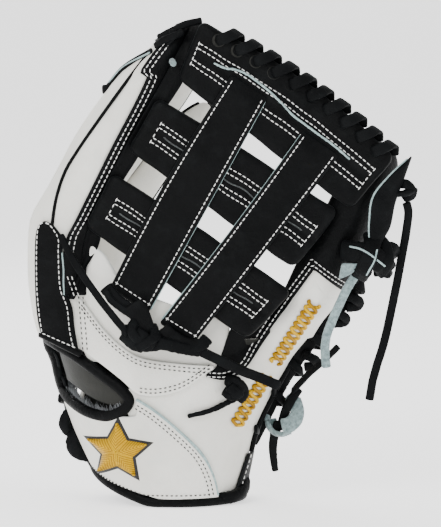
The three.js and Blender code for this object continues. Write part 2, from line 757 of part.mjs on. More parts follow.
// Lacing round the thumb's outer edge, and round the heel's two edges.
const THUMB_LACE_HEIGHTS = [122, 144, 166, 188, 208];
const COVER_FOOT = 136; // below this height the thumb's outer edge has no black cover
const coveredLift = laceLift + LEATHER + OVERLAY_LIFT;
THUMB_LACE_HEIGHTS.forEach((z, i) => {
  const path = [130, 158, 180, 205, 240].map((degrees, k) =>
    stallPoint(thumb, degrees, z + 3 - 1.5 * k, z < COVER_FOOT ? laceLift : coveredLift).toArray(),
  );
  const { across } = stallFrame(thumb, z);
  const lace = thong(path, LACE, [-across.x, -across.y, 0], 6);
  add(`thumb_edge_lace_${i + 1}`, cutClear(lace, thumbCover(GAP), clearOfThumb), BLACK);
});

const HEEL_LACES = [
  { name: "heel_lace_left_low", turn: -6, end: 0.02, z: 42, face: [-1, 0.3, 0] },
  { name: "heel_lace_left_high", turn: -6, end: 0.02, z: 60, face: [-1, 0.3, 0] },
  { name: "heel_lace_right_low", turn: 160, end: 0.985, z: 42, face: [1, 0, 0] },
  { name: "heel_lace_right_high", turn: 160, end: 0.985, z: 66, face: [1, 0, 0] },
];
for (const { name, turn, end, z, face } of HEEL_LACES) {
  const lift = laceLift + (turn < 90 ? GAP + LEATHER : 0);
  const onPalm = (s, drop) => palmPoint(s, z - drop, laceLift + 0.6).toArray();
  const further = end < 0.5 ? end + 0.07 : end - 0.07;
  const front = frontPoint(turn, z + 3, lift);
  const nearer = frontPoint(turn < 90 ? turn + 9 : turn - 9, z + 5, lift);
  const path = [nearer.toArray(), front.toArray(), onPalm(end, 2), onPalm(further, 5)];
  const lace = thong(path, LACE, face, 7);
  add(name, cutClear(lace, clearOfPalm, clearOfWindow, backShell(GAP), strap), BLACK);
}

// Black heel leather at the thumb's side of the bottom.
const heelTab = wall(
  (s, t, offset) => frontPoint(THREE.MathUtils.lerp(158, 186, s), THREE.MathUtils.lerp(17, 30, t), offset),
  4,
  1,
  GAP,
  GAP + LEATHER,
);
add("heel_tab", cutClear(heelTab, clearOfPalm), BLACK);

// The knot at the foot of the web, and the lace that ties it to the finger pad.
const KNOT_TURNS = [
  {
    face: [0, -1, 0],
    path: [[-66, -12, 137], [-58, -14, 124], [-46, -15, 116], [-34, -15, 113]],
  },
  {
    face: [0, -1, 0],
    path: [[-60, -7, 133], [-50, -9, 124], [-40, -11, 121], [-26, -13, 115], [-12, -13.5, 105.5]],
  },
  {
    face: [-0.9, 0, 0.4],
    path: [[-47, -9, 104], [-45, -17, 108], [-41, -19, 115], [-38, -16, 123], [-38, -9, 126]],
  },
  {
    face: [-0.9, 0, 0.4],
    path: [[-36, -10, 103], [-34, -18, 107], [-31, -19, 113], [-30, -15, 119]],
  },
  {
    face: [0, -1, 0],
    path: [[-58, -12, 106], [-49, -15, 108], [-40, -16, 111], [-30, -15, 110]],
  },
];
const KNOT_LACE = { width: 7.5, thickness: 4 };
const webKnot = (grow) => {
  const lace = { width: KNOT_LACE.width + 2 * grow, thickness: KNOT_LACE.thickness + 2 * grow };
  return joined(...KNOT_TURNS.map(({ path, face }) => thong(path, lace, face, 4)));
};
const clearOfFront = [...clearOfBars, ...clearOfPosts, patch(GAP), seat(GAP)];
add("web_knot", cutClear(webKnot(0), ...clearOfFront), BLACK);

const PAD_LACE = [[-95, 9, 174], [-84, -3, 157], [-72, -12, 143], [-62.5, -17, 131]];
const padLace = thong(PAD_LACE, LACE, [0, -1, 0], 7);
add("pad_lace", cutClear(padLace, ...clearOfFront, ...overlaid, webKnot(GAP)), BLACK);

// The small knot beside the patch, its lace end lying along the back leather.
const SMALL_KNOT = [
  { path: [[8, 1, 84], [14, -3, 82], [18, 0, 76], [15, 3, 71]], face: [0, -1, 0] },
  { path: [[7, 0, 77], [12, -4, 75], [17, -2, 81]], face: [0.3, -1, 0] },
  {
    face: [0.1, -1, 0.1],
    path: [[15, 4.5, 72], [9, 3.6, 69], [0, 0.6, 65], [-9, -3.4, 62.5], [-17, -4.9, 61]],
  },
];
const SMALL_LACE = { width: 5.5, thickness: 3.4 };
const smallKnot = joined(...SMALL_KNOT.map(({ path, face }) => thong(path, SMALL_LACE, face, 4)));
const clearOfBack = [backShell(GAP), patch(GAP), strap];
add("small_knot", cutClear(smallKnot, ...clearOfBack), BLACK);

// Laces at the thumb's outer edge: a broad leaf-shaped end, two knots and a suede loop.
const LEAF = [
  { z: 172, x: 104, half: 3 },
  { z: 186, x: 106, half: 6.5 },
  { z: 202, x: 109, half: 7 },
  { z: 216, x: 117, half: 4 },
  { z: 229, x: 126, half: 0.8 },
];
const leafMiddle = track(LEAF, "z", (row) => row.x);
const leafHalf = track(LEAF, "z", (row) => row.half);
const LEAF_DEPTH = -12;
const leaf = (grow) =>
  wall(
    (s, t, offset) => {
      const z = THREE.MathUtils.lerp(172 - grow, 229 + grow, t);
      const aside = (2 * s - 1) * (leafHalf(z) + grow);
      const x = leafMiddle(z) + aside;
      return new THREE.Vector3(x, LEAF_DEPTH + 0.2 * (x - 100) + offset, z - 0.3 * aside);
    },
    4,
    6,
    -grow,
    2 + grow,
  );
add("thumb_leaf", cutClear(leaf(0), thumbCover(GAP), clearOfThumb, clearOfBars[0]), BLACK);

const THUMB_KNOTS = [
  {
    name: "upper_knot",
    look: BLACK,
    turns: [
      { path: [[118, -4, 212], [124, -8, 211], [127, -6, 205], [122, -2, 202]], face: [0.4, -1, 0] },
      { path: [[116, -6, 205], [122, -10, 206], [128, -4, 208]], face: [0, -0.3, 1] },
    ],
  },
  {
    name: "lower_knot",
    look: BLACK,
    turns: [
      {
        path: [[92, -6, 176], [101, -11, 172], [110, -8, 166], [112, -2, 160], [104, 8, 158], [92, 14, 157]],
        face: [0.3, -1, 0.2],
      },
      { path: [[94, -8, 161], [101, -12, 165], [108, -9, 173]], face: [0.8, -0.4, -0.5] },
    ],
  },
  {
    name: "suede_loop",
    look: SUEDE,
    turns: [
      {
        path: [[26, 54, 52], [37, 51, 53], [46, 42, 60], [51, 40, 68], [56, 44, 66], [55, 50, 58]],
        face: [0.3, -1, 0],
      },
      { path: [[41, 50, 54], [46, 42, 49], [54, 43, 53], [57, 50, 61]], face: [0.3, -1, 0] },
      { path: [[44, 49, 55], [39, 49, 48], [38, 49, 36], [39.5, 49, 23]], face: [0, -1, 0] },
    ],
  },
];
const THUMB_LACE = { width: 6, thickness: 3 };
for (const { name, look, turns } of THUMB_KNOTS) {
  const knot = joined(...turns.map(({ path, face }) => thong(path, THUMB_LACE, face, path.length)));
  const others = [thumbCover(GAP), clearOfThumb, backShell(GAP), clearOfPalm, leaf(GAP)];
  add(name, cutClear(knot, ...others), look);
}

// Free lace ends, each along its own route, straight out of its knot and down.
const FREE_LACES = [
  {
    name: "long_thumb_lace",
    look: BLACK,
    route: [
      [123.5, -1.5, 198.6], [124.6, 0, 194], [124.6, 1.4, 189], [124, 2, 184], [122.5, 3, 174],
      [120.5, 3.5, 163], [118.6, 4, 152], [116.5, 4, 141], [114, 3.5, 129], [111.5, 3, 117],
      [108.5, 2.5, 105], [105, 2, 94], [103.5, 2, 88.5], [102, 2, 83], [101, 2, 77], [100, 2, 71],
    ],
  },
  {
    name: "suede_tail",
    look: SUEDE,
    route: [
      [95.7, -7.9, 157.6], [93.2, -7.5, 155.2], [91, -7, 153], [88.7, -6, 149.7], [86.5, -5, 146],
      [84.2, -4, 141.7], [82, -3, 137], [80, -2, 132.5], [78, -1, 128], [76.2, 0, 123.5],
      [74.5, 1, 119], [72.8, 1.9, 114.4], [71.8, 2.5, 110], [71.2, 2.9, 104], [71.4, 3, 98], [72.2, 3, 92],
    ],
  },
  {
    name: "side_lace_end",
    look: BLACK,
    route: [
      [50.8, 38.6, 71.8], [51.8, 36, 73.2], [53, 33.8, 74.9], [54.4, 32.1, 76.6], [56.5, 31, 79],
      [58.7, 30.4, 81.5], [61, 30, 84], [63.5, 29.5, 86.3], [66, 29, 88.5], [68.2, 28.8, 90.5],
      [70.5, 28.5, 92.5], [72.8, 28.2, 94.7], [75, 28, 97], [77.6, 27.7, 99.5], [80, 27.5, 102],
    ],
  },
  {
    name: "flat_lace_end",
    look: BLACK,
    route: [
      [-11, -13.6, 104.9], [-7.5, -13.3, 103.3], [-3, -12.5, 101], [0.5, -12, 99.3], [4, -11.5, 97.5],
      [7.5, -10.8, 95.8], [11, -10, 94], [14.5, -9.1, 92.3], [18, -8, 90.5], [21.5, -6.6, 89],
      [25, -5, 87.5], [29, -3.5, 85.8], [33, -2, 84], [37, -0.5, 82], [41, 1, 80],
    ],
  },
];
const CORD_STEP = 12; // two diameters
for (const { name, look, route } of FREE_LACES) {
  const points = route.map((p) => new THREE.Vector3(...p));
  const length = new THREE.CatmullRomCurve3(points).getLength();
  add(name, tube(points, Math.ceil(length / CORD_STEP) + 1, LACE.width), look);
}

glove.position.set(-GLOVE_MIDDLE.x, -GLOVE_MIDDLE.y, 0);

export default glove;
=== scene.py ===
"""Outfield glove for the left hand, white and black leather, upright on its heel.

The shape tables are in millimetres, in the plane of the glove's front: x to the thumb's side,
y away from the front, z up from the heel. place() turns them into metres in the part's own frame.
"""

import math
import random

import bmesh
import bpy
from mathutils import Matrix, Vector, noise


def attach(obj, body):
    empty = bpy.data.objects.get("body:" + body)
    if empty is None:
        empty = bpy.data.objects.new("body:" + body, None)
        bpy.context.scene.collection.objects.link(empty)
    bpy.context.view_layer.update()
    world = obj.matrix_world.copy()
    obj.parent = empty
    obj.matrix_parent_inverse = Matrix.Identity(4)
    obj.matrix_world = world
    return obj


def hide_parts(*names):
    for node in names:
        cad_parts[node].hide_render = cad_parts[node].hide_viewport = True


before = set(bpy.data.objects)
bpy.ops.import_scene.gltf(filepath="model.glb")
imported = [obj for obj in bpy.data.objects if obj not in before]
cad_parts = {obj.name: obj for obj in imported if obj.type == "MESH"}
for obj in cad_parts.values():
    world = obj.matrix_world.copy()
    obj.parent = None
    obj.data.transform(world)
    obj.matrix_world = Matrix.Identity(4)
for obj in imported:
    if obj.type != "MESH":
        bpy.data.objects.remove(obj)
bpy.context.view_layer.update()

MM = 0.001
MIDDLE = Vector((4.7, 63.5, 0.0))

# Camera: level with the glove's middle, a little above the floor's plane
VIEW_CENTRE = (3.6, 0.0, 159.5)
VIEW_WIDTH = 284.5
VIEW_DISTANCE = 3.6
VIEW_RISE = 6.0
SENSOR = 36.0

# Sizes
LEATHER = 2.2
STALL_WALL = 2.6
STALL_FLOOR = 110.0
PALM_TOP = 109.65
PALM_CROWN = 4.5
TIP_LENGTH = 24.0
BAND = 5.4
POST = 3.2
LACE_WIDTH = 5.6
LACE_THICK = 2.4
BINDING = 6.6
WORN_RIM = 1.6
TOP_LOOPS = 10
TUFTS = 760
WHITE_SEAM = {"Pitch": 3.4, "Length": 2.64, "Thickness": 0.77}
BLACK_SEAM = {"Pitch": 3.1, "Length": 1.87, "Thickness": 0.792}
# The direction from the glove's front to the viewer, which most laces face
AHEAD = (0, -1, 0)

# The pocket's seam lines, level by level: z, then x and y of each line in the order of SEAMS, which
# runs from the little finger round to the thumb's outer edge
SEAMS = ["little", "lr", "rm", "mi", "iw", "tw", "to"]
POCKET = [
    (0, (-56, 60), (-50, 75), (-42, 82), (-33, 82), (-22, 80), (0, 78), (13, 56)),
    (14, (-67, 62), (-60, 81), (-50, 89), (-38, 88), (-24, 84), (3, 84), (19, 58)),
    (30, (-79, 66), (-71, 87), (-60, 92), (-44, 87), (-27, 82), (6, 82), (22, 58)),
    (55, (-90, 80), (-84, 96), (-71, 91), (-53, 77), (-33, 66), (9, 64), (28, 58)),
    (82, (-82, 110), (-86, 98), (-84, 79), (-70, 56), (-46, 38), (15, 33), (41, 54)),
    (110, (-66, 132), (-86, 108), (-93, 79), (-85, 50), (-62, 22), (25, 12), (55, 48)),
    (135, (-62, 138), (-86, 113), (-97, 82), (-92, 50), (-74, 17), (43, 7), (71, 44)),
    (160, (-56, 140), (-82, 117), (-96, 86), (-96, 50), (-81, 14), (55, 4), (84, 42)),
    (185, (-44, 136), (-72, 116), (-89, 86), (-94, 49), (-76, 13), (68, 2), (96, 38)),
    (218, (-22, 124), (-48, 108), (-69, 78), (-88, 45), (-62, 11), (84, -2), (108, 32)),
    (250, (2, 108), (-25, 98), (-48, 72), (-73, 39), (-45, 9), (95, -4), (118, 27)),
    (280, (20, 96), (-6, 86), (-28, 64), (-53, 34.5), (-28, 8), (104, -5), (126, 24)),
    (310, (36, 86), (9, 78), (-11, 56), (-35, 30), (-12, 7), (112, -6), (134, 22)),
]
STALLS = {
    "index_finger": {"inner": "iw", "outer": "mi", "tip": 314, "depth": (29, 24), "turn": -1},
    "middle_finger": {"inner": "mi", "outer": "rm", "tip": 300, "depth": (26, 23), "turn": -1},
    "ring_finger": {"inner": "rm", "outer": "lr", "tip": 282, "depth": (25, 22), "turn": -1},
    "little_finger": {"inner": "lr", "outer": "little", "tip": 256, "depth": (24, 21), "turn": -1},
    "thumb": {"inner": "tw", "outer": "to", "tip": 236, "depth": (25, 19), "turn": 1},
}
# The hand's front, level by level: z, its left and right edge, its front and its sides' depth
FRONT = [
    (0, -66, 17, 4, 44), (20, -78, 21, 0, 50), (45, -90, 27, -3, 54),
    (70, -99, 39, -4, 57), (90, -105, 50, -4, 58), (112, -112, 61, -3, 58),
]
FRONT_TOP = FRONT[-1][0]
# The strap's lower and upper edge at angles round the front
STRAP_EDGE = [(-30, 22, 74), (0, 17, 69), (30, 9, 61), (55, 2.5, 59),
              (66, 0, 69), (80, 0, 72), (120, 0, 71)]
STRAP_SEAM = [(0, 2.5), (18, -1.5), (33, -8.5), (56, -29), (73, -51)]

# Web: upper and lower edge of each crossbar and the ends of its seam, foot and head of each post
CROSSBARS = [
    {"name": "crossbar_top", "bow": 6.5, "seam": (0.03, 0.965),
     "upper": ((-9, 317), (116, 229)), "lower": ((-24, 279), (87, 195))},
    {"name": "crossbar_middle", "bow": 1.5, "seam": (0.075, 0.955),
     "upper": ((-37, 267), (80, 194)), "lower": ((-56, 233), (51, 157))},
    {"name": "crossbar_low", "bow": 1.5, "seam": (0.075, 0.94),
     "upper": ((-66, 218), (50, 142)), "lower": ((-84, 183), (21, 111))},
]
POSTS = [
    {"name": "post_left", "foot": ((-68, 143.5), (-43, 127.5)), "head": ((11, 283), (34, 268)), "bow": 3},
    {"name": "post_right", "foot": ((-36, 121.5), (-14, 108.5)), "head": ((57, 247), (80, 231)), "bow": -1},
]
WEB = {"left": -80, "right": 110, "y_left": 7, "y_right": -7, "bulge": 9}

# Routes of the free lace ends, the points of the part's own cords
FREE_LACES = {
    "long_thumb_lace": [
        (123.5, -1.5, 198.6), (124.6, 0, 194), (124.6, 1.4, 189), (124, 2, 184), (122.5, 3, 174),
        (120.5, 3.5, 163), (118.6, 4, 152), (116.5, 4, 141), (114, 3.5, 129), (111.5, 3, 117),
        (108.5, 2.5, 105), (105, 2, 94), (103.5, 2, 88.5), (102, 2, 83), (101, 2, 77), (100, 2, 71),
    ],
    "suede_tail": [
        (95.7, -7.9, 157.6), (93.2, -7.5, 155.2), (91, -7, 153), (88.7, -6, 149.7), (86.5, -5, 146),
        (84.2, -4, 141.7), (82, -3, 137), (80, -2, 132.5), (78, -1, 128), (76.2, 0, 123.5),
        (74.5, 1, 119), (72.8, 1.9, 114.4), (71.8, 2.5, 110), (71.2, 2.9, 104), (71.4, 3, 98), (72.2, 3, 92),
    ],
    "side_lace_end": [
        (50.8, 38.6, 71.8), (51.8, 36, 73.2), (53, 33.8, 74.9), (54.4, 32.1, 76.6), (56.5, 31, 79),
        (58.7, 30.4, 81.5), (61, 30, 84), (63.5, 29.5, 86.3), (66, 29, 88.5), (68.2, 28.8, 90.5),
        (70.5, 28.5, 92.5), (72.8, 28.2, 94.7), (75, 28, 97), (77.6, 27.7, 99.5), (80, 27.5, 102),
    ],
    "flat_lace_end": [
        (-11, -13.6, 104.9), (-7.5, -13.3, 103.3), (-3, -12.5, 101), (0.5, -12, 99.3), (4, -11.5, 97.5),
        (7.5, -10.8, 95.8), (11, -10, 94), (14.5, -9.1, 92.3), (18, -8, 90.5), (21.5, -6.6, 89),
        (25, -5, 87.5), (29, -3.5, 85.8), (33, -2, 84), (37, -0.5, 82), (41, 1, 80),
    ],
}


def place(point):
    """A point of the shape tables, in metres in the part's frame."""
    return (Vector(point) - MIDDLE) * MM


def mix(a, b, t):
    return a + (b - a) * t


def clamp(value, low=0.0, high=1.0):
    return max(low, min(high, value))


def smoothstep(low, high, value):
    t = clamp((value - low) / (high - low))
    return t * t * (3 - 2 * t)


def track(keys, values):
    """A smooth curve through a table: its slopes come from each value's neighbours."""
    slopes = []
    for i in range(len(keys)):
        before = max(i - 1, 0)
        after = min(i + 1, len(keys) - 1)
        slopes.append((values[after] - values[before]) / (keys[after] - keys[before]))

    def read(key):
        i = 0
        while i < len(keys) - 2 and key > keys[i + 1]:
            i += 1
        span = keys[i + 1] - keys[i]
        t = clamp((key - keys[i]) / span)
        s = 1 - t
        start = values[i] * (1 + 2 * t) * s * s + slopes[i] * span * t * s * s
        return start + values[i + 1] * t * t * (3 - 2 * t) - slopes[i + 1] * span * t * t * s

    return read


def column_track(rows, column):
    """A curve through one column of a table whose first column is the key."""
    return track([row[0] for row in rows], [row[column] for row in rows])


def solve(read, target, low, high, rising, rounds=22):
    """The place between two others where a steady reading passes its target."""
    for _ in range(rounds):
        middle = (low + high) / 2
        if (read(middle) < target) == rising:
            low = middle
        else:
            high = middle
    return (low + high) / 2


SEAM_X = {}
SEAM_Y = {}
for column, seam_name in enumerate(SEAMS, 1):
    SEAM_X[seam_name] = track([row[0] for row in POCKET], [row[column][0] for row in POCKET])
    SEAM_Y[seam_name] = track([row[0] for row in POCKET], [row[column][1] for row in POCKET])
LEFT_AT, RIGHT_AT, FRONT_AT, SIDE_AT = [column_track(FRONT, column) for column in range(1, 5)]
EDGE_LOW = column_track(STRAP_EDGE, 1)
EDGE_HIGH = column_track(STRAP_EDGE, 2)
STRAP_SEAM_X = column_track(STRAP_SEAM, 1)


def seam_point(name, z):
    return Vector((SEAM_X[name](z), SEAM_Y[name](z)))


def stall_point(stall, degrees, z, offset):
    """A point on a finger stall: 0 degrees at its inner seam, 90 on its back, 180 at its outer seam."""
    inner = seam_point(stall["inner"], z)
    outer = seam_point(stall["outer"], z)
    across = inner - outer
    half = across.length / 2 - 0.8
    across.normalize()
    outward = Vector((-across.y, across.x)) * stall["turn"]
    middle = (inner + outer) / 2
    tip = stall["tip"] + offset
    shoulder = stall["tip"] - TIP_LENGTH
    fade = 1.0
    if z > shoulder:
        fade = math.sqrt(max(1 - ((z - shoulder) / (tip - shoulder)) ** 2, 0))
    rise = (z - STALL_FLOOR) / (stall["tip"] - STALL_FLOOR)
    back = mix(stall["depth"][0], stall["depth"][1], rise)
    cosine = math.cos(math.radians(degrees))
    sine = math.sin(math.radians(degrees))
    wide = soft_square(cosine, 0.85) * (half + offset) * fade
    swell = back if sine > 0 else PALM_CROWN
    deep = soft_square(sine, 0.85) * (swell + offset) * fade
    flat = middle + across * wide + outward * deep
    return Vector((flat.x, flat.y, z))


def front_point(degrees, z, offset):
    """The hand's front, from its left side (0 degrees) over the front (90) to the right side."""
    level = min(z, FRONT_TOP)
    left = LEFT_AT(level) - offset
    right = RIGHT_AT(level) + offset
    side = SIDE_AT(level)
    depth = side - FRONT_AT(level) + offset
    angle = math.radians(degrees)
    half = (right - left) / 2
    return Vector(((left + right) / 2 - half * math.cos(angle), side - depth * math.sin(angle), z))


def front_angle(x, z):
    left = LEFT_AT(min(z, FRONT_TOP))
    right = RIGHT_AT(min(z, FRONT_TOP))
    share = ((left + right) / 2 - x) / ((right - left) / 2)
    return math.degrees(math.acos(clamp(share, -1, 1)))


def front_at(x, z, offset):
    return front_point(front_angle(x, z), z, offset)


def follow(value, spot):
    return value(spot) if callable(value) else value


def patch(point, start, end, low, high):
    """A surface(s, t, offset) over point(), between two places and two heights that may follow them."""
    def read(s, t, offset):
        spot = mix(start, end, s)
        return point(spot, mix(follow(low, spot), follow(high, spot), t), offset)
    return read


def palm_point(s, z, offset):
    """The palm's face at one height, the offset pointing into the pocket."""
    spots = list(range(len(SEAMS)))
    x = track(spots, [SEAM_X[name](z) for name in SEAMS])
    y = track(spots, [SEAM_Y[name](z) for name in SEAMS])
    spot = s * (len(SEAMS) - 1)
    step = 0.02
    along = Vector((x(spot + step) - x(spot - step), y(spot + step) - y(spot - step))).normalized()
    return Vector((x(spot) - along.y * offset, y(spot) + along.x * offset, z))


def web_depth(x):
    t = clamp((x - WEB["left"]) / (WEB["right"] - WEB["left"]))
    return mix(WEB["y_left"], WEB["y_right"], t) - WEB["bulge"] * math.sin(math.pi * t)


def band_point(first, second, bow, s, t, offset):
    """A strap of the web between two edges; s runs along it, t across it."""
    start = Vector(first[0]).lerp(Vector(first[1]), s)
    end = Vector(second[0]).lerp(Vector(second[1]), s)
    spot = start.lerp(end, t)
    rise = Vector((first[0][1] - first[1][1], first[1][0] - first[0][0])).normalized()
    spot += rise * (bow * math.sin(math.pi * s) * (1 - t))
    return Vector((spot.x, web_depth(spot.x) - offset, spot.y))


# Shader nodes and objects
def plug(tree, socket, value):
    """Feeds a socket from another node's output, or with a plain value."""
    if hasattr(value, "is_output"):
        tree.links.new(value, socket)
    elif socket.type == "RGBA":
        socket.default_value = (*value, 1.0)
    else:
        socket.default_value = value


class Nodes:
    """A small helper that adds shader nodes and links them."""

    def __init__(self, name):
        self.material = bpy.data.materials.new(name)
        self.material.use_nodes = True
        self.tree = self.material.node_tree
        self.shader = self.tree.nodes["Principled BSDF"]
        self.place = self.tree.nodes.new("ShaderNodeTexCoord").outputs["Object"]

    def add(self, kind, inputs=None, **settings):
        node = self.tree.nodes.new(kind)
        for key, value in settings.items():
            setattr(node, key, value)
        for key, value in (inputs or {}).items():
            plug(self.tree, node.inputs[key], value)
        return node

    def noise(self, scale, detail=3.0, roughness=0.55):
        inputs = {"Vector": self.place, "Scale": scale, "Detail": detail, "Roughness": roughness}
        return self.add("ShaderNodeTexNoise", inputs).outputs["Fac"]

    def ramp(self, factor, low, high, start, end):
        inputs = {"Value": factor, "From Min": low, "From Max": high, "To Min": start, "To Max": end}
        return self.add("ShaderNodeMapRange", inputs).outputs["Result"]

    def blend(self, factor, first, second):
        inputs = {0: factor, 6: first, 7: second}
        return self.add("ShaderNodeMix", inputs, data_type="RGBA").outputs[2]

    def bump(self, height, strength, distance, under=None):
        inputs = {"Height": height, "Strength": strength, "Distance": distance}
        if under is not None:
            inputs["Normal"] = under
        return self.add("ShaderNodeBump", inputs).outputs["Normal"]

    def attribute(self, name):
        return self.add("ShaderNodeAttribute", attribute_name=name).outputs["Fac"]

    def finish(self, **inputs):
        for key, value in inputs.items():
            plug(self.tree, self.shader.inputs[key.replace("_", " ")], value)
        return self.material


def add_object(name, data):
    obj = bpy.data.objects.new(name, data)
    bpy.context.collection.objects.link(obj)
    return obj


# Camera and light come first
def look_at(obj, target):
    obj.rotation_euler = (Vector(target) - obj.location).to_track_quat("-Z", "Y").to_euler()


def add_camera():
    data = bpy.data.cameras.new("front_view")
    data.sensor_fit = "HORIZONTAL"
    data.sensor_width = SENSOR
    data.lens = SENSOR * VIEW_DISTANCE / (VIEW_WIDTH * MM)
    camera = add_object("front_view", data)
    target = place(VIEW_CENTRE)
    rise = math.radians(VIEW_RISE)
    camera.location = target + Vector((0, -math.cos(rise), math.sin(rise))) * VIEW_DISTANCE
    look_at(camera, target)
    bpy.context.scene.camera = camera


def add_light(name, location, size, energy):
    data = bpy.data.lights.new(name, "AREA")
    data.size = size
    data.energy = energy
    light = add_object(name, data)
    light.location = location
    look_at(light, (0, 0, 0.16))


def add_studio():
    add_light("key", (-0.7, -1.1, 1.0), 0.7, 12)
    add_light("fill", (1.1, -0.9, 0.5), 0.9, 2.5)
    add_light("top", (0.1, 0.3, 1.3), 0.8, 5)
    add_light("back", (-0.5, 1.1, 0.8), 0.8, 6)
    world = bpy.data.worlds.new("pale_room")
    world.use_nodes = True
    sky = world.node_tree.nodes["Background"].inputs
    sky["Color"].default_value = (1, 1, 1, 1)
    sky["Strength"].default_value = 1.05
    bpy.context.scene.world = world
    mesh = bpy.data.meshes.new("floor")
    span = 14.0
    corners = [(-span, -span, 0), (span, -span, 0), (span, span, 0), (-span, span, 0)]
    mesh.from_pydata(corners, [], [(0, 1, 2, 3)])
    paint = Nodes("floor_paint").finish(Base_Color=(0.93, 0.93, 0.93), Roughness=0.9,
                                        Emission_Color=(1, 1, 1), Emission_Strength=1.2)
    mesh.materials.append(paint)
    add_object("floor", mesh)


add_camera()
add_studio()


# Looks
def leather(name, colour, shade, worn, roughness, grain=0.25, crease=0.3, shine=0.3):
    """Grained leather: pores, soft creases, uneven tint and a worn tone along its cut edges."""
    nodes = Nodes(name)
    pores = nodes.add("ShaderNodeTexVoronoi", {"Vector": nodes.place, "Scale": 1150.0}).outputs["Distance"]
    fine = nodes.noise(2600.0, 2.0)
    crumple = nodes.noise(95.0, 5.0, 0.6)
    wrinkle = nodes.noise(330.0, 4.0, 0.65)
    cloud = nodes.noise(28.0, 4.0, 0.6)
    wear = nodes.ramp(nodes.attribute("wear"), 0.55, 1.0, 0.0, 0.85)
    tint = nodes.blend(nodes.ramp(cloud, 0.35, 0.7, 0.0, 1.0), colour, shade)
    dusty = nodes.blend(nodes.ramp(crumple, 0.5, 0.8, 0.0, 0.35), tint, worn)
    edged = nodes.blend(wear, dusty, worn)
    normal = nodes.bump(crumple, crease, 0.002)
    normal = nodes.bump(wrinkle, crease, 0.0006, normal)
    normal = nodes.bump(pores, grain, 0.0003, normal)
    normal = nodes.bump(fine, grain * 0.7, 0.00012, normal)
    rough = nodes.ramp(cloud, 0.3, 0.7, roughness - 0.06, roughness + 0.08)
    return nodes.finish(Base_Color=edged, Roughness=rough, Normal=normal, Specular_IOR_Level=shine)


def suede(name, colour, fleck):
    nodes = Nodes(name)
    nap = nodes.noise(1300.0, 4.0, 0.7)
    mottle = nodes.noise(420.0, 3.0, 0.7)
    tint = nodes.blend(nodes.ramp(mottle, 0.36, 0.66, 0.0, 1.0), fleck, colour)
    return nodes.finish(Base_Color=tint, Roughness=0.92, Normal=nodes.bump(nap, 0.6, 0.0005),
                        Sheen_Weight=0.35, Sheen_Roughness=0.6)


def thread(name, colour, shade, roughness, metal=0.0):
    """Sewing or embroidery thread: a fine twist in colour and height."""
    nodes = Nodes(name)
    wave = {"Vector": nodes.place, "Scale": 900.0, "Distortion": 2.5, "Detail": 1.0}
    twist = nodes.add("ShaderNodeTexWave", wave, bands_direction="DIAGONAL").outputs["Fac"]
    cloud = nodes.noise(160.0, 3.0)
    tint = nodes.blend(nodes.ramp(twist, 0.0, 1.0, 0.0, 0.7), colour, shade)
    tint = nodes.blend(nodes.ramp(cloud, 0.4, 0.7, 0.0, 0.4), tint, shade)
    return nodes.finish(Base_Color=tint, Roughness=roughness, Normal=nodes.bump(twist, 0.5, 0.0003),
                        Metallic=metal)


WHITE = leather("white_leather", (0.79, 0.78, 0.725), (0.69, 0.675, 0.615), (0.6, 0.62, 0.6), 0.5)
BLACK = leather("black_leather", (0.0012, 0.0014, 0.0016), (0.003, 0.0032, 0.0035),
                (0.01, 0.0115, 0.012), 0.44, 0.4, 0.5, 0.06)
RAWHIDE = leather("black_lace", (0.0018, 0.0021, 0.0024), (0.005, 0.0055, 0.006),
                  (0.01, 0.012, 0.0125), 0.5, 0.5, 0.8, 0.05)
LINING = leather("dark_lining", (0.012, 0.0125, 0.0105), (0.017, 0.017, 0.014),
                 (0.03, 0.03, 0.026), 0.5, 0.15, 0.15, 0.2)
SUEDE = suede("grey_suede", (0.25, 0.34, 0.345), (0.1, 0.15, 0.155))
RAW_EDGE = suede("raw_leather_edge", (0.36, 0.49, 0.485), (0.2, 0.29, 0.29))
DARK_EDGE = suede("dark_cut_edge", (0.03, 0.04, 0.04), (0.008, 0.01, 0.01))
WHITE_THREAD = thread("white_thread", (0.9, 0.9, 0.88), (0.78, 0.78, 0.75), 0.55)
BLACK_THREAD = thread("black_thread", (0.002, 0.002, 0.002), (0.006, 0.006, 0.006), 0.6)
GOLD_THREAD = thread("gold_thread", (0.74, 0.46, 0.0), (0.4, 0.2, 0.0), 0.38, 0.8)
# A darker copy of the gold thread, which is painted shade: it goes on every other bar of the star and on one
# strand of each pair in the braid
SHADED_GOLD = thread("shaded_gold_thread", (0.44, 0.24, 0.0), (0.24, 0.11, 0.0), 0.4, 0.8)
FLEECE = suede("grey_fleece", (0.5, 0.53, 0.55), (0.2, 0.21, 0.23))


# Building meshes
def build(name, parts, looks):
    """One object from parts: each is (corners in millimetres, faces, wear values or None, look index)."""
    corners = []
    faces = []
    worn = []
    slots = []
    for points, part_faces, part_wear, slot in parts:
        first = len(corners)
        corners.extend(place(point) for point in points)
        faces.extend([tuple(first + i for i in face) for face in part_faces])
        worn.extend(part_wear or [0.0] * len(points))
        slots.extend([slot] * len(part_faces))
    mesh = bpy.data.meshes.new(name)
    mesh.from_pydata(corners, [], faces)
    for look in looks:
        mesh.materials.append(look)
    mesh.polygons.foreach_set("material_index", slots)
    mesh.polygons.foreach_set("use_smooth", [True] * len(faces))
    mesh.attributes.new("wear", "FLOAT", "POINT").data.foreach_set("value", worn)
    face_outward(mesh)
    mesh.validate()
    return add_object(name, mesh)


def face_outward(mesh, merge=0.0):
    shape = bmesh.new()
    shape.from_mesh(mesh)
    if merge:
        bmesh.ops.remove_doubles(shape, verts=shape.verts, dist=merge)
    bmesh.ops.recalc_face_normals(shape, faces=shape.faces)
    shape.to_mesh(mesh)
    shape.free()


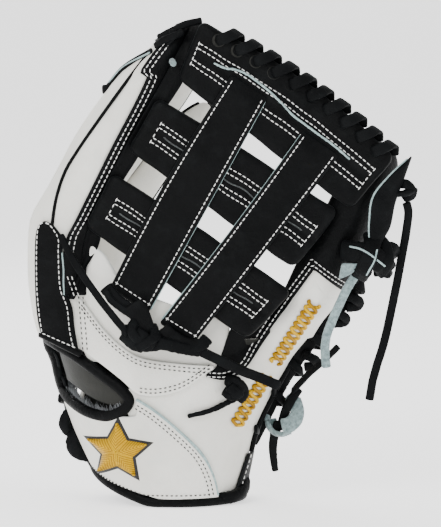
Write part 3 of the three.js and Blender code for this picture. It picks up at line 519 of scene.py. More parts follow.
def line_inside(mesh, first):
    """Gives the faces from one corner on the lining's look, the second of the mesh."""
    for face in mesh.polygons:
        if min(face.vertices) >= first:
            face.material_index = 1


def hold(obj, look, *nodes):
    """Fixes a finished piece to the glove, in the place of the plain solids that it stands for."""
    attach(obj, "root")
    if nodes:
        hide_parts(*nodes)


def add(name, parts, look, *nodes):
    hold(build(name, parts, [look]), look, *nodes)


def border_steps(length, radius, count):
    """Places from 0 to 1, closer together in the rounded borders."""
    share = min(radius / length, 0.2)
    near = [0.0, 0.06, 0.22, 0.5, 1.0]
    inner = [share + (1 - 2 * share) * i / count for i in range(1, count)]
    return [share * n for n in near] + inner + [1 - share * n for n in reversed(near)]


def round_corner(s, t, length, height, corner):
    """Pulls a point near a corner of the unit square in onto a round corner."""
    away = corner - min(s, 1 - s) * length
    over = corner - min(t, 1 - t) * height
    if corner <= 0 or away <= 0 or over <= 0:
        return s, t
    pull = max(away, over) / math.hypot(away, over)
    ds = (corner - away * pull) / length
    dt = (corner - over * pull) / height
    return (ds if s < 0.5 else 1 - ds), (dt if t < 0.5 else 1 - dt)


def grid_faces(index, side, columns, rows):
    """The faces of one side of a sheet whose corners stand in index[side, column, row]."""
    return [(index[side, i, j], index[side, i + 1, j], index[side, i + 1, j + 1], index[side, i, j + 1])
            for j in range(rows) for i in range(columns)]


def panel(surface, length, height, columns=24, rows=12, thickness=LEATHER, lift=0.0, radius=None,
          relief=None, corner=0.0):
    """A sheet of leather with rounded borders over surface(s, t, offset), as a part for build()."""
    round_off = radius or thickness * 0.5
    across = border_steps(length, round_off, columns)
    along = border_steps(height, round_off, rows)
    points = []
    wear = []
    index = {}
    for side in (1, -1):
        for j, t in enumerate(along):
            for i, s in enumerate(across):
                rim = i in (0, len(across) - 1) or j in (0, len(along) - 1)
                if side < 0 and rim:
                    index[side, i, j] = index[1, i, j]
                    continue
                inset = min(s * length, (1 - s) * length, t * height, (1 - t) * height)
                bulge = math.sqrt(max(1 - (1 - min(inset / round_off, 1)) ** 2, 0))
                raised = relief(s, t) if relief and side > 0 else 0.0
                offset = lift + thickness / 2 + side * thickness / 2 * bulge + raised * bulge
                index[side, i, j] = len(points)
                points.append(surface(*round_corner(s, t, length, height, corner), offset))
                wear.append(1 - clamp(inset / WORN_RIM) if side > 0 else 1.0)
    faces = []
    for side in (1, -1):
        faces += [face[::side] for face in grid_faces(index, side, len(across) - 1, len(along) - 1)]
    return points, faces, wear, 0


def curve_through(points, spacing=1.2):
    """Evenly spaced points on a smooth curve through given ones."""
    spots = [Vector(p) for p in points]
    keys = [0.0]
    for before, after in zip(spots, spots[1:]):
        keys.append(keys[-1] + (after - before).length)
    reads = [track(keys, [p[axis] for p in spots]) for axis in range(3)]
    count = max(int(keys[-1] / spacing), 4)
    return [Vector([read(keys[-1] * i / count) for read in reads]) for i in range(count + 1)]


def soft_square(angle_part, power):
    """A sine or cosine whose section is squarer than a circle's."""
    return math.copysign(abs(angle_part) ** power, angle_part)


# Distance beyond a lace's end, and the share of its section there
END_CAPS = ((0.5, 0.8), (0.75, 0.45))


def sweep(points, width, thickness, face=AHEAD, sides=12, square=0.55, spacing=1.2, ragged=0.0, slot=0,
          taper=None):
    """A lace: a flat section with soft corners along a smooth curve, its face turned to a direction."""
    line = curve_through(points, spacing)
    last = len(line) - 1
    faces_along = face if isinstance(face, list) else [face, face]
    steps = [j / (len(faces_along) - 1) for j in range(len(faces_along))]
    reads = [track(steps, [Vector(f).normalized()[axis] for f in faces_along]) for axis in range(3)]
    rings = []
    for i, centre in enumerate(line):
        facing = Vector([read(i / last) for read in reads]).normalized()
        tangent = (line[min(i + 1, last)] - line[max(i - 1, 0)]).normalized()
        side = tangent.cross(facing)
        if side.length < 0.1:
            side = tangent.cross(Vector((0.3, 0.1, 1.0)))
        side.normalize()
        rings.append((centre, side, side.cross(tangent), taper(i / last) if taper else 1.0, tangent))
    for end, way in ((0, -1), (-1, 1)):
        centre, side, up, size, tangent = rings[end]
        caps = [(centre + tangent * (way * d), side, up, size * k, tangent) for d, k in END_CAPS]
        rings = rings + caps if end else caps[::-1] + rings
    corners = []
    wear = []
    for centre, side, up, size, _ in rings:
        for i in range(sides):
            angle = 2 * math.pi * (i + 0.5) / sides
            a = soft_square(math.cos(angle), square) * width / 2 * size
            b = soft_square(math.sin(angle), square) * thickness / 2 * size
            if ragged:
                a *= 1 + ragged * noise.noise(centre * 0.9 + side * (3.0 if a > 0 else -3.0))
            corners.append(centre + side * a + up * b)
            wear.append(clamp((abs(a) / (width / 2) - 0.8) * 4) * 0.9)
    faces = []
    for j in range(len(rings) - 1):
        faces += ring_faces(j * sides, (j + 1) * sides, sides)
    faces.append(tuple(range(sides)))
    faces.append(tuple(range((len(rings) - 1) * sides, len(rings) * sides)))
    return corners, faces, wear, slot


def ring_faces(before, after, count):
    """The faces between two closed rings of corners, given by their first corners."""
    return [(before + i, before + (i + 1) % count, after + (i + 1) % count, after + i) for i in range(count)]


def strips(rows, sides=12, square=0.6, ragged=0.0):
    """Listed strips of leather, each (width, thickness, face, points)."""
    return [sweep(points, wide, thick, face, sides, square, ragged=ragged)
            for wide, thick, face, points in rows]


def tube(points, radius, sides=10, spacing=1.2):
    return sweep(points, radius * 2, radius * 2, (0.2, -1, 0.1), sides, 1.0, spacing)


# Stitches are kept row by row and sewn at the end
white_rows = []
black_rows = []


def row(read, count, start=0.0, end=1.0):
    """Points along read(), evenly from start to end."""
    return [read(mix(start, end, i / count)) for i in range(count + 1)]


def stitch(rows, read, count, start=0.0, end=1.0):
    rows.append([place(point) for point in row(read, count, start, end)])


# Cords: the free ends of the laces, in the path of the part's own cords
def add_cord(name, look, width, thickness, face):
    points = FREE_LACES[name]
    obj = build(name + "_end", [sweep(points, width, thickness, face, 14, ragged=0.05)], [look])
    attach(obj, "root")
    line = [tuple(place(p)) for p in curve_through(points, 2.0)]
    length = sum((Vector(b) - Vector(a)).length for a, b in zip(line, line[1:]))
    tuple(place(points[0]))
    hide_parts(name)


add_cord("long_thumb_lace", RAWHIDE, 5.6, 2.4, AHEAD)
add_cord("suede_tail", SUEDE, 5.8, 2.2, (0.1, -1, 0))
add_cord("side_lace_end", RAWHIDE, 4.6, 2.4, (-0.4, -0.8, 0.5))
add_cord("flat_lace_end", RAWHIDE, 6.6, 2.3, AHEAD)


# Fingers and thumb
INDEX = STALLS["index_finger"]
THUMB = STALLS["thumb"]
# The left outline of the fingers as seen from the front, level by level
OUTLINE = track([100, 119, 140, 155, 170, 185, 191, 203, 219, 248, 273, 284, 296, 304, 307.5, 313, 317],
                [-110, -116, -119.5, -121.2, -121, -119.7, -117.5, -109.3, -101, -85.3, -67.1, -57.9, -42.5,
                 -35.5, -30, -21.5, -12])
outline_ratios = {}


def outline_ratio(z):
    """How much wider than the plain stall the index finger is at one level, from its inner seam."""
    level = round(z * 2) / 2
    if level not in outline_ratios:
        seam = seam_point("iw", level).x
        plain = min(stall_point(INDEX, degrees, min(level, 313.5), 0).x for degrees in range(60, 181, 6))
        outline_ratios[level] = clamp((OUTLINE(level) - 1.2 - seam) / (plain - seam), 0.35, 2.2)
    return outline_ratios[level]


def finger_point(stall, degrees, z, offset):
    """The visible skin of a stall, fitted to the glove's left outline."""
    point = stall_point(stall, degrees, z, offset)
    if stall is INDEX:
        seam = seam_point("iw", z).x
        if point.x < seam:
            point.x = seam + (point.x - seam) * outline_ratio(z)
    elif stall is THUMB:
        if degrees % 360 < 180:
            point.y += 7.0 * (1 - smoothstep(112, 134, z))
    else:
        limit = OUTLINE(z) + 2.5
        if point.x < limit:
            point.x = limit + (point.x - limit) * 0.12
    return point


def stall_heights(stall, offset, rows=26, cap=7):
    shoulder = stall["tip"] - TIP_LENGTH
    tip = stall["tip"] + offset
    levels = [mix(STALL_FLOOR - 2, shoulder, i / rows) for i in range(rows)]
    levels += [shoulder + (tip - shoulder) * math.sin(math.pi / 2 * i / cap) for i in range(cap)]
    return levels + [tip]


def add_finger(name, stall, sides=64):
    """A hollow finger stall: outer skin, lining and the open rim at its root."""
    points = []
    for offset in (0.0, -STALL_WALL):
        for z in stall_heights(stall, offset):
            for i in range(sides):
                degrees = 360 * i / sides
                point = finger_point(stall, degrees, z, offset)
                if offset == 0.0:
                    crease = 0.35 * math.sin(z * 0.21 + 3 * math.sin(math.radians(degrees)))
                    fold = noise.noise(Vector((point.x, point.y, z * 0.5)) * 0.05) * 0.9 + crease * 0.3
                    point = finger_point(stall, degrees, z, min(fold, 0.3))
                points.append(point)
    half = len(points) // 2
    rings = list(range(0, half, sides))[::-1] + list(range(half, len(points), sides))
    faces = []
    for before, after in zip(rings, rings[1:]):
        faces += ring_faces(before, after, sides)
    obj = build(name + "_skin", [(points, faces, None, 0)], [WHITE, LINING])
    line_inside(obj.data, half)
    face_outward(obj.data, 0.00001)
    hold(obj, WHITE, name)


for finger, shape in STALLS.items():
    add_finger(finger, shape)


# Black piping in the seams between the fingers, on the pocket's side and over the tips
def seam_pipes():
    parts = []
    for stall in STALLS.values():
        shoulder = stall["tip"] - 24
        levels = list(range(112, shoulder, 10))
        levels += [shoulder + 24.5 * math.sin(math.pi / 2 * i / 6) for i in range(6)]
        for degrees in (0, 180):
            parts.append(tube([finger_point(stall, degrees, z, 0.5) for z in levels], 1.0, 8, 2.5))
    return parts


add("seam_piping", seam_pipes(), BLACK)

# Black welting down the back of the index finger
WELT = [(-43.0, 294.5), (-58.5, 274.5), (-76.7, 249), (-88.5, 231.5), (-96.2, 218.4), (-101.6, 203),
        (-104.6, 186.5), (-105.4, 172)]


def index_angle(x, z, low, high, rounds=22):
    """The angle on the index finger's skin at which it passes a given x."""
    return solve(lambda degrees: finger_point(INDEX, degrees, z, 0).x, x, low, high, False, rounds)


def index_back(x, z, offset, widest=115.0):
    return finger_point(INDEX, index_angle(x, z, 1.0, widest), z, offset)


add("index_welting", [tube([index_back(x, z, 0.55) for x, z in WELT], 1.15)], BLACK)

# The index finger's web side strip and black fingertip
STRIP_EDGE = track([112, 131, 150, 174.2, 186.5, 233, 280, 282, 284, 301.6, 306],
                   [-96, -98, -99, -96.2, -90.3, -67.5, -43.9, -47, -47.8, -34.7, -30])


def domed(foot, shoulder, top, t, share):
    """Heights that come closer together over a rounded top, whose shoulder is at t = share."""
    if t < share:
        return mix(foot, shoulder, t / share)
    return shoulder + (top - shoulder) * math.sin(math.pi / 2 * (t - share) / (1 - share))


def strip_side(z):
    """The angle of the strip's front edge: it steps out at the fingertip and then runs all round."""
    level = min(z, 300)
    return mix(index_angle(STRIP_EDGE(level), level, 3.0, 130.0, 20), 185.0, smoothstep(300, 305, z))


def strip_surface(s, t, offset):
    z = domed(137.5, 290.0, 315.9, t, 0.75)
    behind = mix(-55.0, -178.0, smoothstep(297, 304, z))
    return finger_point(INDEX, mix(behind, strip_side(z), s), z, offset)


add("index_web_side", [panel(strip_surface, 60, 160, 26, 74, 1.5, 0.15)], BLACK, "index_web_strip")
for inset in (2.7, 5.9):
    stitch(white_rows, lambda z: index_back(STRIP_EDGE(z) + inset, z, 1.95), 180, 165, 301)

# Black leather between the index finger's seam and the web's ends
GUSSET_RIGHT = track([134, 154, 169, 183, 200, 216, 227, 250, 268, 277, 296, 310, 317],
                     [-91, -84, -75.5, -72, -66, -57, -50, -38, -26, -20.5, -13, -6.5, -6])


def gusset_surface(s, t, offset):
    z = mix(135, 314.5, t)
    right_x = GUSSET_RIGHT(z)
    left = index_back(min(seam_point("iw", z).x - 5, right_x - 5), z, 1.0)
    depth = mix(left.y, web_depth(right_x) + 4.5, smoothstep(140, 190, z))
    spot = Vector((left.x, left.y)).lerp(Vector((right_x, depth)), s)
    return Vector((spot.x, spot.y + 2.0 * math.sin(math.pi * s) - offset, z))


add("index_web_gusset", [panel(gusset_surface, 20, 186, 12, 70, 2.2, 0.0, corner=3.0)], BLACK)

# The black pad on the index finger: a round top, wrapped round towards the middle finger
PAD_RIGHT = track([96, 102, 116, 129, 135, 141, 152, 166, 175, 180, 184, 186],
                  [-86, -88, -90.6, -92, -94, -96.6, -97.8, -98.2, -98.2, -101, -104.6, -109])
PAD_LEFT = track([96, 104, 111, 119, 131, 150, 165, 176, 181, 184.5, 186],
                 [-104, -108.6, -111, -112.6, -114.2, -115, -115, -114.4, -113.2, -111, -108.6])


def pad_height(s, t):
    foot = mix(111.5, 99.5, s ** 1.1)
    return mix(foot, 186.0, math.sin(math.pi / 2 * t) ** 0.85 if t > 0 else 0)


def pad_surface(s, t, offset):
    z = pad_height(s, t)
    point = index_back(mix(PAD_LEFT(z), PAD_RIGHT(z), s), max(z, 112), offset, 150)
    point.z = z
    return point


add("finger_pad_cover", [panel(pad_surface, 22, 88, 22, 40, 2.4, 0.3, corner=2.5)], BLACK, "finger_pad")
for s in (0.86, 0.1):
    stitch(white_rows, lambda t: pad_surface(s, t, 2.8), 90, 0.02, 0.88)
stitch(white_rows, lambda s: pad_surface(s, 0.014, 4.3), 40, 0.1, 0.88)
stitch(white_rows, lambda k: pad_surface(mix(0.86, 0.1, k), mix(0.88, 0.94, math.sin(math.pi * k)), 2.8), 40)
pad_edge = [index_back(x, z, 2.2) for x, z in ((-98.4, 165), (-97.6, 154), (-97.6, 145.6), (-97.2, 138.5))]
add("pad_raw_edge", [sweep(pad_edge, 1.1, 1.4, AHEAD, 8, 0.8)], RAW_EDGE)
for inset in (0.0, 2.6):
    stitch(white_rows, lambda k: index_back(mix(-95, -91.5, k) + inset, mix(149, 138.5, k), 2.4), 8)
pad_roll = row(lambda s: pad_surface(s, 0.0, 1.6), 12)
add("pad_lower_roll", [sweep(pad_roll, 4.6, 5.0, AHEAD, 14, 0.85, ragged=0.08)], BLACK)


# The palm: padded heel, lined on the hand's side
def palm_thickness(s, z):
    padded = mix(12.0, 7.5, smoothstep(20, 80, z))
    return 3 + (padded - 3) * max(math.sin(math.pi * s), 0) ** 0.6


def palm_wall(columns=70, rows=46):
    points = []
    index = {}
    heights = [PALM_TOP * t for t in border_steps(PALM_TOP, 2.5, rows)]
    for side in (0, 1):
        for j, z in enumerate(heights):
            for i in range(columns + 1):
                s = i / columns
                inset = min(z, PALM_TOP + 3 - z)
                soft = math.sqrt(max(1 - (1 - min(inset / 2.5, 1)) ** 2, 0))
                thickness = palm_thickness(s, z)
                crease = 0.5 * noise.noise(Vector((s * 9, z * 0.05, side * 5.0)))
                depth = thickness / 2 + (0.5 - side) * thickness * (0.55 + 0.45 * soft) + crease * soft
                index[side, i, j] = len(points)
                points.append(palm_point(s, z, depth - thickness))
    last = len(heights) - 1
    faces = grid_faces(index, 0, columns, last) + grid_faces(index, 1, columns, last)
    rims = [[(i, j) for i in range(columns + 1)] for j in (0, last)]
    rims += [[(i, j) for j in range(last + 1)] for i in (0, columns)]
    for rim in rims:
        outer, inner = [[index[side, i, j] for i, j in rim] for side in (0, 1)]
        faces += [quad for quad in zip(outer, outer[1:], inner[1:], inner)]
    return points, faces, None, 0


palm = build("palm_leather", [palm_wall()], [WHITE, LINING])
line_inside(palm.data, len(palm.data.vertices) // 2)
hold(palm, WHITE, "palm")

# Seams and stitches of the palm's outer face, and the roll along its heel
palm_seams = []
for i in range(1, 5):
    line = [palm_point(i / 5, z, 0.1) for z in range(112, 40 + 6 * abs(i - 3), -6)]
    palm_seams.append(tube(line, 0.9, 8, 2.5))
add("palm_seam_piping", palm_seams, BLACK)


def palm_row(margin, level, bow=0):
    """A row of stitches across the palm, between two equal margins."""
    def read(k):
        return palm_point(mix(margin, 1 - margin, k), level + bow * math.sin(math.pi * k), 0.7)
    stitch(black_rows, read, 90)


for inset in (0.0, 2.8):
    palm_row(0.05, 9 + inset)
    palm_row(0.08, 20 + inset, 22)
    palm_row(0.04, 106 - inset)
heel_roll_line = row(lambda s: palm_point(s, 3.6, -1.2), 40, 0.01, 0.99)
add("palm_rolled_edge", [sweep(heel_roll_line, 6.0, 6.0, (0, 1, 0), 14, 0.85)], BLACK)

# The back of the hand: one white panel from the wrist window to the thumb's outer edge
HAND_LEFT = track([0, 33, 56, 70, 78, 90, 98, 110, 130, 156], [-12, -24, -53, -59, -56, -31, 3, 24, 40, 56])
HAND_RIGHT = 171.0
# The heights between which the hand's front turns into the thumb's back
HAND_END = 72
THUMB_START = 128
inner_angles = {}


def inner_angle(left, z):
    """The thumb's angle where the hand's leather meets it, kept for each level."""
    level = round(z * 4) / 4
    if level not in inner_angles:
        x = max(left, SEAM_X["tw"](level))
        inner_angles[level] = solve(lambda angle: stall_point(THUMB, angle, level, 0).x, x, 2, 100, True, 20)
    return inner_angles[level]


def hand_point(s, z, offset):
    """The front leather: the hand's front low down, running up into the thumb's back."""
    left = HAND_LEFT(z)
    seam = seam_point("tw", z)
    front = front_point(mix(front_angle(left, z), HAND_RIGHT, s), z, offset)
    share = smoothstep(HAND_END, THUMB_START, z) * smoothstep(seam.x - 28, seam.x + 6, front.x)
    if share == 0:
        return front
    angle = max(mix(inner_angle(left, z), 172.0, s), 1.0)
    return front.lerp(stall_point(THUMB, angle, z, offset), share)


def thumb_side(x, z, offset):
    """The same leather at a given x."""
    if z <= HAND_END:
        return front_at(x, z, offset)
    return hand_point(solve(lambda s: hand_point(s, z, 0).x, x, -0.8, 0.8, True, 20), z, offset)


def hand_surface(s, t, offset):
    low = EDGE_LOW(mix(75, HAND_RIGHT, s)) + BINDING * 0.6
    top = mix(155.5, 137.0, smoothstep(0.0, 0.5, s))
    return hand_point(s, mix(low, top, t), offset)


add("hand_back", [panel(hand_surface, 100, 140, 64, 64, LEATHER, -LEATHER)], WHITE, "back_shell")


# The wrist strap over it, up to its curved seam
def strap_height(turn, t):
    half = front_angle(STRAP_SEAM_X(40), 40)
    return mix(EDGE_LOW(turn) + BINDING * 0.7, EDGE_HIGH(min(turn, half)) + 1.5, t)


def strap_surface(s, t, offset):
    z = strap_height(mix(-18, mix(104, 68, t), s), t)
    return front_point(mix(-18, front_angle(STRAP_SEAM_X(z), z), s), z, offset)


add("wrist_strap_leather", [panel(strap_surface, 110, 55, 60, 30, LEATHER, 0.3)], WHITE, "wrist_strap")
SEAM_LEFT = track([6, 20, 36, 52, 64, 71], [0.6, -2.4, -10.0, -25, -39, -50])


def strap_seam(z, inset, offset):
    slope = (SEAM_LEFT(z + 1) - SEAM_LEFT(z - 1)) / 2
    size = math.hypot(1, slope)
    return front_at(SEAM_LEFT(z) - inset / size, z + inset * slope / size, offset)


for inset in (2.6, 5.0):
    stitch(black_rows, lambda z: strap_seam(z, inset, 2.75), 60, 9, 69.5)
raw = row(lambda z: strap_seam(z, -0.3, 1.8), 24, 7.5, 71)
add("strap_raw_edge", [sweep(raw, 2.0, 1.9, AHEAD, 10, 0.8)], RAW_EDGE)
stitch(black_rows, lambda turn: front_point(turn, EDGE_LOW(turn) + BINDING + 1.5, 2.9), 100, 6, 118)

# Rolled black bindings: round the wrist window and along the lower edge
WINDOW_UPPER = [(-24, 103), (0, 105), (22, 103), (38, 97), (53, 86.5), (64, 77.5), (68.5, 70.5)]
WINDOW_LOWER = [(64, 63.5), (52, 59), (32, 62), (0, 70), (-22, 75)]
window_line = [front_point(turn, z, 0.5) for turn, z in WINDOW_UPPER + WINDOW_LOWER]
add("window_rolled_edge", [sweep(window_line, 7.2, 6.4, (-0.3, -1, 0), 18, 0.85)], BLACK, "window_binding")
binding_line = [front_point(turn, EDGE_LOW(turn) + BINDING / 2 + 0.15, 0.5) for turn in range(-16, 177, 8)]
add("lower_rolled_edge", [sweep(binding_line, 6.6, 6.4, (-0.3, -1, 0), 18, 0.85)], BLACK, "bottom_binding")

# Inside the window: a smooth dark inner leather above, the fleece in the gap below it
WINDOW_TOP = column_track(WINDOW_UPPER, 1)
inner_surface = patch(front_point, 12, 68, lambda turn: mix(78, 66, smoothstep(10, 56, turn)),
                      lambda turn: WINDOW_TOP(turn) + 1)
add("window_inner_leather", [panel(inner_surface, 70, 30, 40, 20, 2.0, -5.2, corner=2.0)], LINING)
deep_surface = patch(front_point, -20, 76, 50, 108)
add("window_back_leather", [panel(deep_surface, 90, 56, 40, 24, 1.6, -15.0)], LINING)

# The black rolled edge down the hand's left side, lumpy where the laces turn
left_edge = [front_point(-1 + 1.2 * math.sin(z * 0.4), z, 0.6 + 0.5 * math.sin(z * 0.27))
             for z in range(21, 113, 4)]
add("left_rolled_edge", [sweep(left_edge, 8.5, 6.0, (-1, -0.4, 0), 14, 0.8, ragged=0.25)], BLACK)
LEFT_LUMPS = [
    (7.5, 5.0, (-0.5, -1, 0),
     [(-91, 54, 58), (-97, 51, 54), (-99, 50, 48.5), (-96, 52, 43.5), (-90, 54, 41)]),
    (10.0, 5.5, (-0.5, -1, 0),
     [(-86, 52, 43.5), (-92, 49, 40), (-93, 48, 34), (-89, 50, 29.5), (-82, 52, 28)]),
]
add("left_edge_lacing", strips(LEFT_LUMPS, 14, 0.7, 0.15), RAWHIDE)

# The lens-shaped patch and the seat of the web
LENS_LOW = track([-90, -84, -72, -60, -48, -24, -2], [104, 101, 93, 84, 74.5, 77, 91])
LENS_HIGH = track([-90, -84, -72, -60, -48, -24, -2], [139, 133, 117.5, 106, 99, 95.3, 93.2])
lens_surface = patch(front_at, -90, -1.5, LENS_LOW, LENS_HIGH)
add("web_base_lens", [panel(lens_surface, 95, 30, 56, 18, LEATHER, 0.5)], WHITE, "web_base_patch")
for inset in (2.2, 4.7):
    stitch(black_rows, lambda x: front_at(x, LENS_HIGH(x) - inset, 3.1), 80, -84, -5)
    stitch(black_rows, lambda x: front_at(x, LENS_LOW(x) + inset, 3.1), 60, -47, -5)
    stitch(black_rows, lambda k: front_at(-88.5 + inset * 1.1 + 2.5 * k, mix(136, 103, k), 3.1), 40)
SEAT_RIM = track([-92, -82, -72, -62, -50, -36, -16, 2, 12, 24],
                 [178, 172, 164, 149, 141, 136, 129, 125, 125, 131])
seat_surface = patch(front_at, -86.5, 10, 94, SEAT_RIM)
add("web_seat_leather", [panel(seat_surface, 98, 40, 50, 18, 3.4, -3.5, corner=6.0)], WHITE, "web_seat")


# Fleece behind the strap, seen through the wrist window
def fleece_tufts():
    random.seed(11)
    parts = []
    for index in range(TUFTS):
        turn = random.uniform(-14, 30) if index % 3 == 0 else random.uniform(-14, 62)
        root = front_point(turn, EDGE_HIGH(min(turn, 60)) - random.uniform(0, 5), -random.uniform(0.5, 5.0))
        lean = Vector((random.uniform(-2.6, 2.6), random.uniform(-1.6, 2.0), random.uniform(4.0, 9.5)))
        curl = Vector((random.uniform(-2, 2), random.uniform(-1.5, 1.5), 0))
        points = []
        for j in range(4):
            k = j / 3
            centre = root + lean * k + curl * (k * k)
            size = 0.34 * (1 - 0.85 * k)
            for i in range(3):
                angle = 2 * math.pi * i / 3
                points.append(centre + Vector((math.cos(angle) * size, math.sin(angle) * size, 0)))
        faces = ring_faces(0, 3, 3) + ring_faces(3, 6, 3) + ring_faces(6, 9, 3) + [(0, 2, 1), (9, 10, 11)]
        parts.append((points, faces, None, 0))
    return parts


def fleece_nap(s, t):
    return 0.5 * noise.noise(Vector((s * 60, t * 30, 2.0)))


fleece_surface = patch(front_point, -14, 62, lambda turn: EDGE_LOW(turn) + BINDING + 4,
                       lambda turn: EDGE_HIGH(turn) - 1)
fleece = panel(fleece_surface, 90, 40, 60, 26, 4.2, -5.0, 2.0, fleece_nap)
add("fleece_pad", [fleece], FLEECE, "fleece_lining")
add("fleece_tufts", fleece_tufts(), FLEECE)

# The thumb's black cover and the black root piece below it
COVER_EDGE = [(-5.0, 84.4), (4.0, 83.6), (13.0, 86.0), (20.5, 93.0), (63.9, 155.8), (81.0, 141.0)]
COVER_LINE = track([94, 156], [20.6, 64.4])


def thumb_skin(angle, z, offset):
    back = stall_point(THUMB, angle, z, offset)
    if z >= THUMB_START or angle < 2:
        return back
    return thumb_side(back.x, z, offset)


def cover_low(angle):
    """The height of the cover's lower edge: up along its inner seam, then down across the thumb."""
    if angle < 2:
        return 94.0
    if angle <= 27:
        return solve(lambda z: stall_point(THUMB, angle, z, 0).x - COVER_LINE(z), 0, 94.0, 155.6, False, 18)
    z = 150.0
    for _ in range(5):
        x = stall_point(THUMB, min(angle, 100), z, 0).x
        z = clamp(155.8 - (x - 63.9) * 0.865, 139.5, 155.8)
    return z


COVER_ANGLE = [(0, -52.0), (0.24, 2.0), (0.5, 27.0), (1, 188.0)]


def cover_surface(s, t, offset):
    for (before, start), (after, end) in zip(COVER_ANGLE, COVER_ANGLE[1:]):
        if s < after or after == 1:
            angle = mix(start, end, (s - before) / (after - before))
            break
    return thumb_skin(angle, domed(cover_low(angle), 212.0, 237.5, t, 0.8), offset)


add("thumb_black_cover", [panel(cover_surface, 110, 110, 72, 60, 1.7, 0.25)], BLACK, "thumb_cover")
ROOT_LOW = track([-6, 4, 12, 20, 30, 38], [86.0, 83.6, 85.4, 92.0, 105.5, 117])
ROOT_HIGH = track([-6, 0, 5, 9, 14, 22, 30, 38], [88, 92, 104, 116, 122, 126, 130, 133])
root_surface = patch(thumb_side, -6, 36, ROOT_LOW, ROOT_HIGH)
add("thumb_root", [panel(root_surface, 42, 26, 36, 20, 1.9, 0.5)], BLACK)


def inset_line(points, inset):
    """A line of corners moved sideways, to the left of its direction."""
    spots = [Vector(p) for p in points]
    lefts = [Vector((a.y - b.y, b.x - a.x)).normalized() for a, b in zip(spots, spots[1:])]
    moved = []
    for spot, before, after in zip(spots, lefts[:1] + lefts, lefts + lefts[-1:]):
        left = (before + after).normalized()
        moved.append(spot + left * (inset / max(left.dot(before), 0.4)))
    return moved


def along_line(points, share):
    lengths = [(b - a).length for a, b in zip(points, points[1:])]
    distance = share * sum(lengths)
    for a, b, length in zip(points, points[1:], lengths):
        if distance <= length or b is points[-1]:
            return a.lerp(b, min(distance / length, 1))
        distance -= length


for inset in (1.9, 4.4):
    line = inset_line(COVER_EDGE, inset)
    stitch(white_rows, lambda k: thumb_side(*along_line(line, k), 2.6), 220)

# Black piping down the thumb's outer edge
edge_pipe = [stall_point(THUMB, 150, z, 1.2) for z in range(226, 152, -8)]
edge_pipe += [hand_point(0.975, z, 1.1) for z in range(144, 24, -8)]
add("thumb_edge_piping", [sweep(edge_pipe, 3.6, 4.4, (0.6, -0.8, 0), 12, 0.8)], BLACK)

# The palm's black edge and its lacing, seen beyond the thumb's outer side
EDGE_BAND = [(111, 24, 203), (108, 30, 190), (101, 36, 164), (90, 40, 140), (75.5, 43, 119), (59.5, 46, 99),
             (47.5, 48, 81), (38.5, 49, 64), (31, 50, 48), (25, 50, 36)]
band_width = track([0, 0.3, 0.6, 1.0], [9.5, 11.5, 9.0, 6.5])
band = sweep(EDGE_BAND, 11.0, 4.2, (0.35, -1, 0), 16, 0.7, ragged=0.12, taper=lambda k: band_width(k) / 11.0)
add("thumb_outer_edge", [band], BLACK)

# The lace's turns over it: across the band, then outwards and up from the band's middle
TURN = [(-5.5, -2.0, 2.0), (-1, -3.6, 1.0), (3.0, -3.2, 0), (5.4, 0, -1.2), (4.4, 4.0, -3.0), (0, 5.0, -5.0)]
TURN_FACES = [(0, -1, 0.2), (0, -1, 0.2), (0.3, -1, 0), (1, -0.1, 0), (0.6, 1, 0), (0, 1, 0)]
band_line = curve_through(EDGE_BAND, 1.0)
edge_turns = []
for k, size in ((0.1, 8), (0.22, 9), (0.34, 9), (0.46, 8.5), (0.58, 8.5), (0.7, 7.5), (0.82, 7)):
    spot = band_line[int(k * (len(band_line) - 1))]
    turn = [spot + Vector((0.86, 0, -0.5)) * across + Vector((0, out, up)) for across, out, up in TURN]
    edge_turns.append(sweep(turn, size * 0.78, 3.2, TURN_FACES, 12, 0.6, ragged=0.12))
for middle, reach in (((91, 38, 132), 6.0), ((82.5, 41, 121), 5.5), ((63.5, 45, 92), 5.5)):
    lump = [(-reach, -2, 3), (-1, -3.5, 1.5), (3, -1, -1.5), (2, 2, -4.5), (-reach + 1, 2, -5.5)]
    path = [Vector(middle) + Vector(step) for step in lump]
    edge_turns.append(sweep(path, reach * 1.1, 4.0, (0.2, -1, 0), 14, 0.7, ragged=0.12))
add("thumb_outer_lacing", edge_turns, RAWHIDE)


def edge_lace(z):
    """A turn of the thumb's edge lace, sloping down as it goes round."""
    lift = 3.2 if z < 136 else 4.6
    turns = enumerate((128, 145, 160, 176, 192, 208, 226, 242))
    line = [stall_point(THUMB, degrees, z + 3 - 1.5 * k, lift) for k, degrees in turns]
    return sweep(line, 6.0, 2.6, (1, -0.4, 0))


def lace_run(upper, lower):
    """The lace between two of its turns."""
    line = []
    for j in range(7):
        swing = math.sin(math.pi * j / 6)
        line.append(stall_point(THUMB, 186 + 6 * swing, mix(upper - 4, lower + 4, j / 6), 3.2 + 1.4 * swing))
    return sweep(line, 5.6, 2.6, (1, -0.2, 0))


EDGE_TURNS = [122, 144, 166, 188, 208]
nodes = [f"thumb_edge_lace_{i}" for i in range(1, 6)]
add("thumb_lacing", [edge_lace(z) for z in EDGE_TURNS], RAWHIDE, *nodes)
add("thumb_lace_runs", [lace_run(high, low) for low, high in zip(EDGE_TURNS, EDGE_TURNS[1:])], RAWHIDE)


# The web: soft folded crossbars
def bar_surface(bar):
    def read(s, t, offset):
        point = band_point(bar["upper"], bar["lower"], bar["bow"], s, t, offset)
        point.z += 1.1 * noise.noise(Vector((point.x * 0.07, t * 1.3, len(bar["name"]))))
        return point
    return read


def bar_relief(bar):
    def read(s, t):
        soft = 0.35 * noise.noise(Vector((s * 7 + len(bar["name"]), t * 3, 0.5)))
        return soft - math.exp(-((t - 0.5) / 0.05) ** 2) * 0.9
    return read


def span(first, second):
    return (Vector(first) - Vector(second)).length


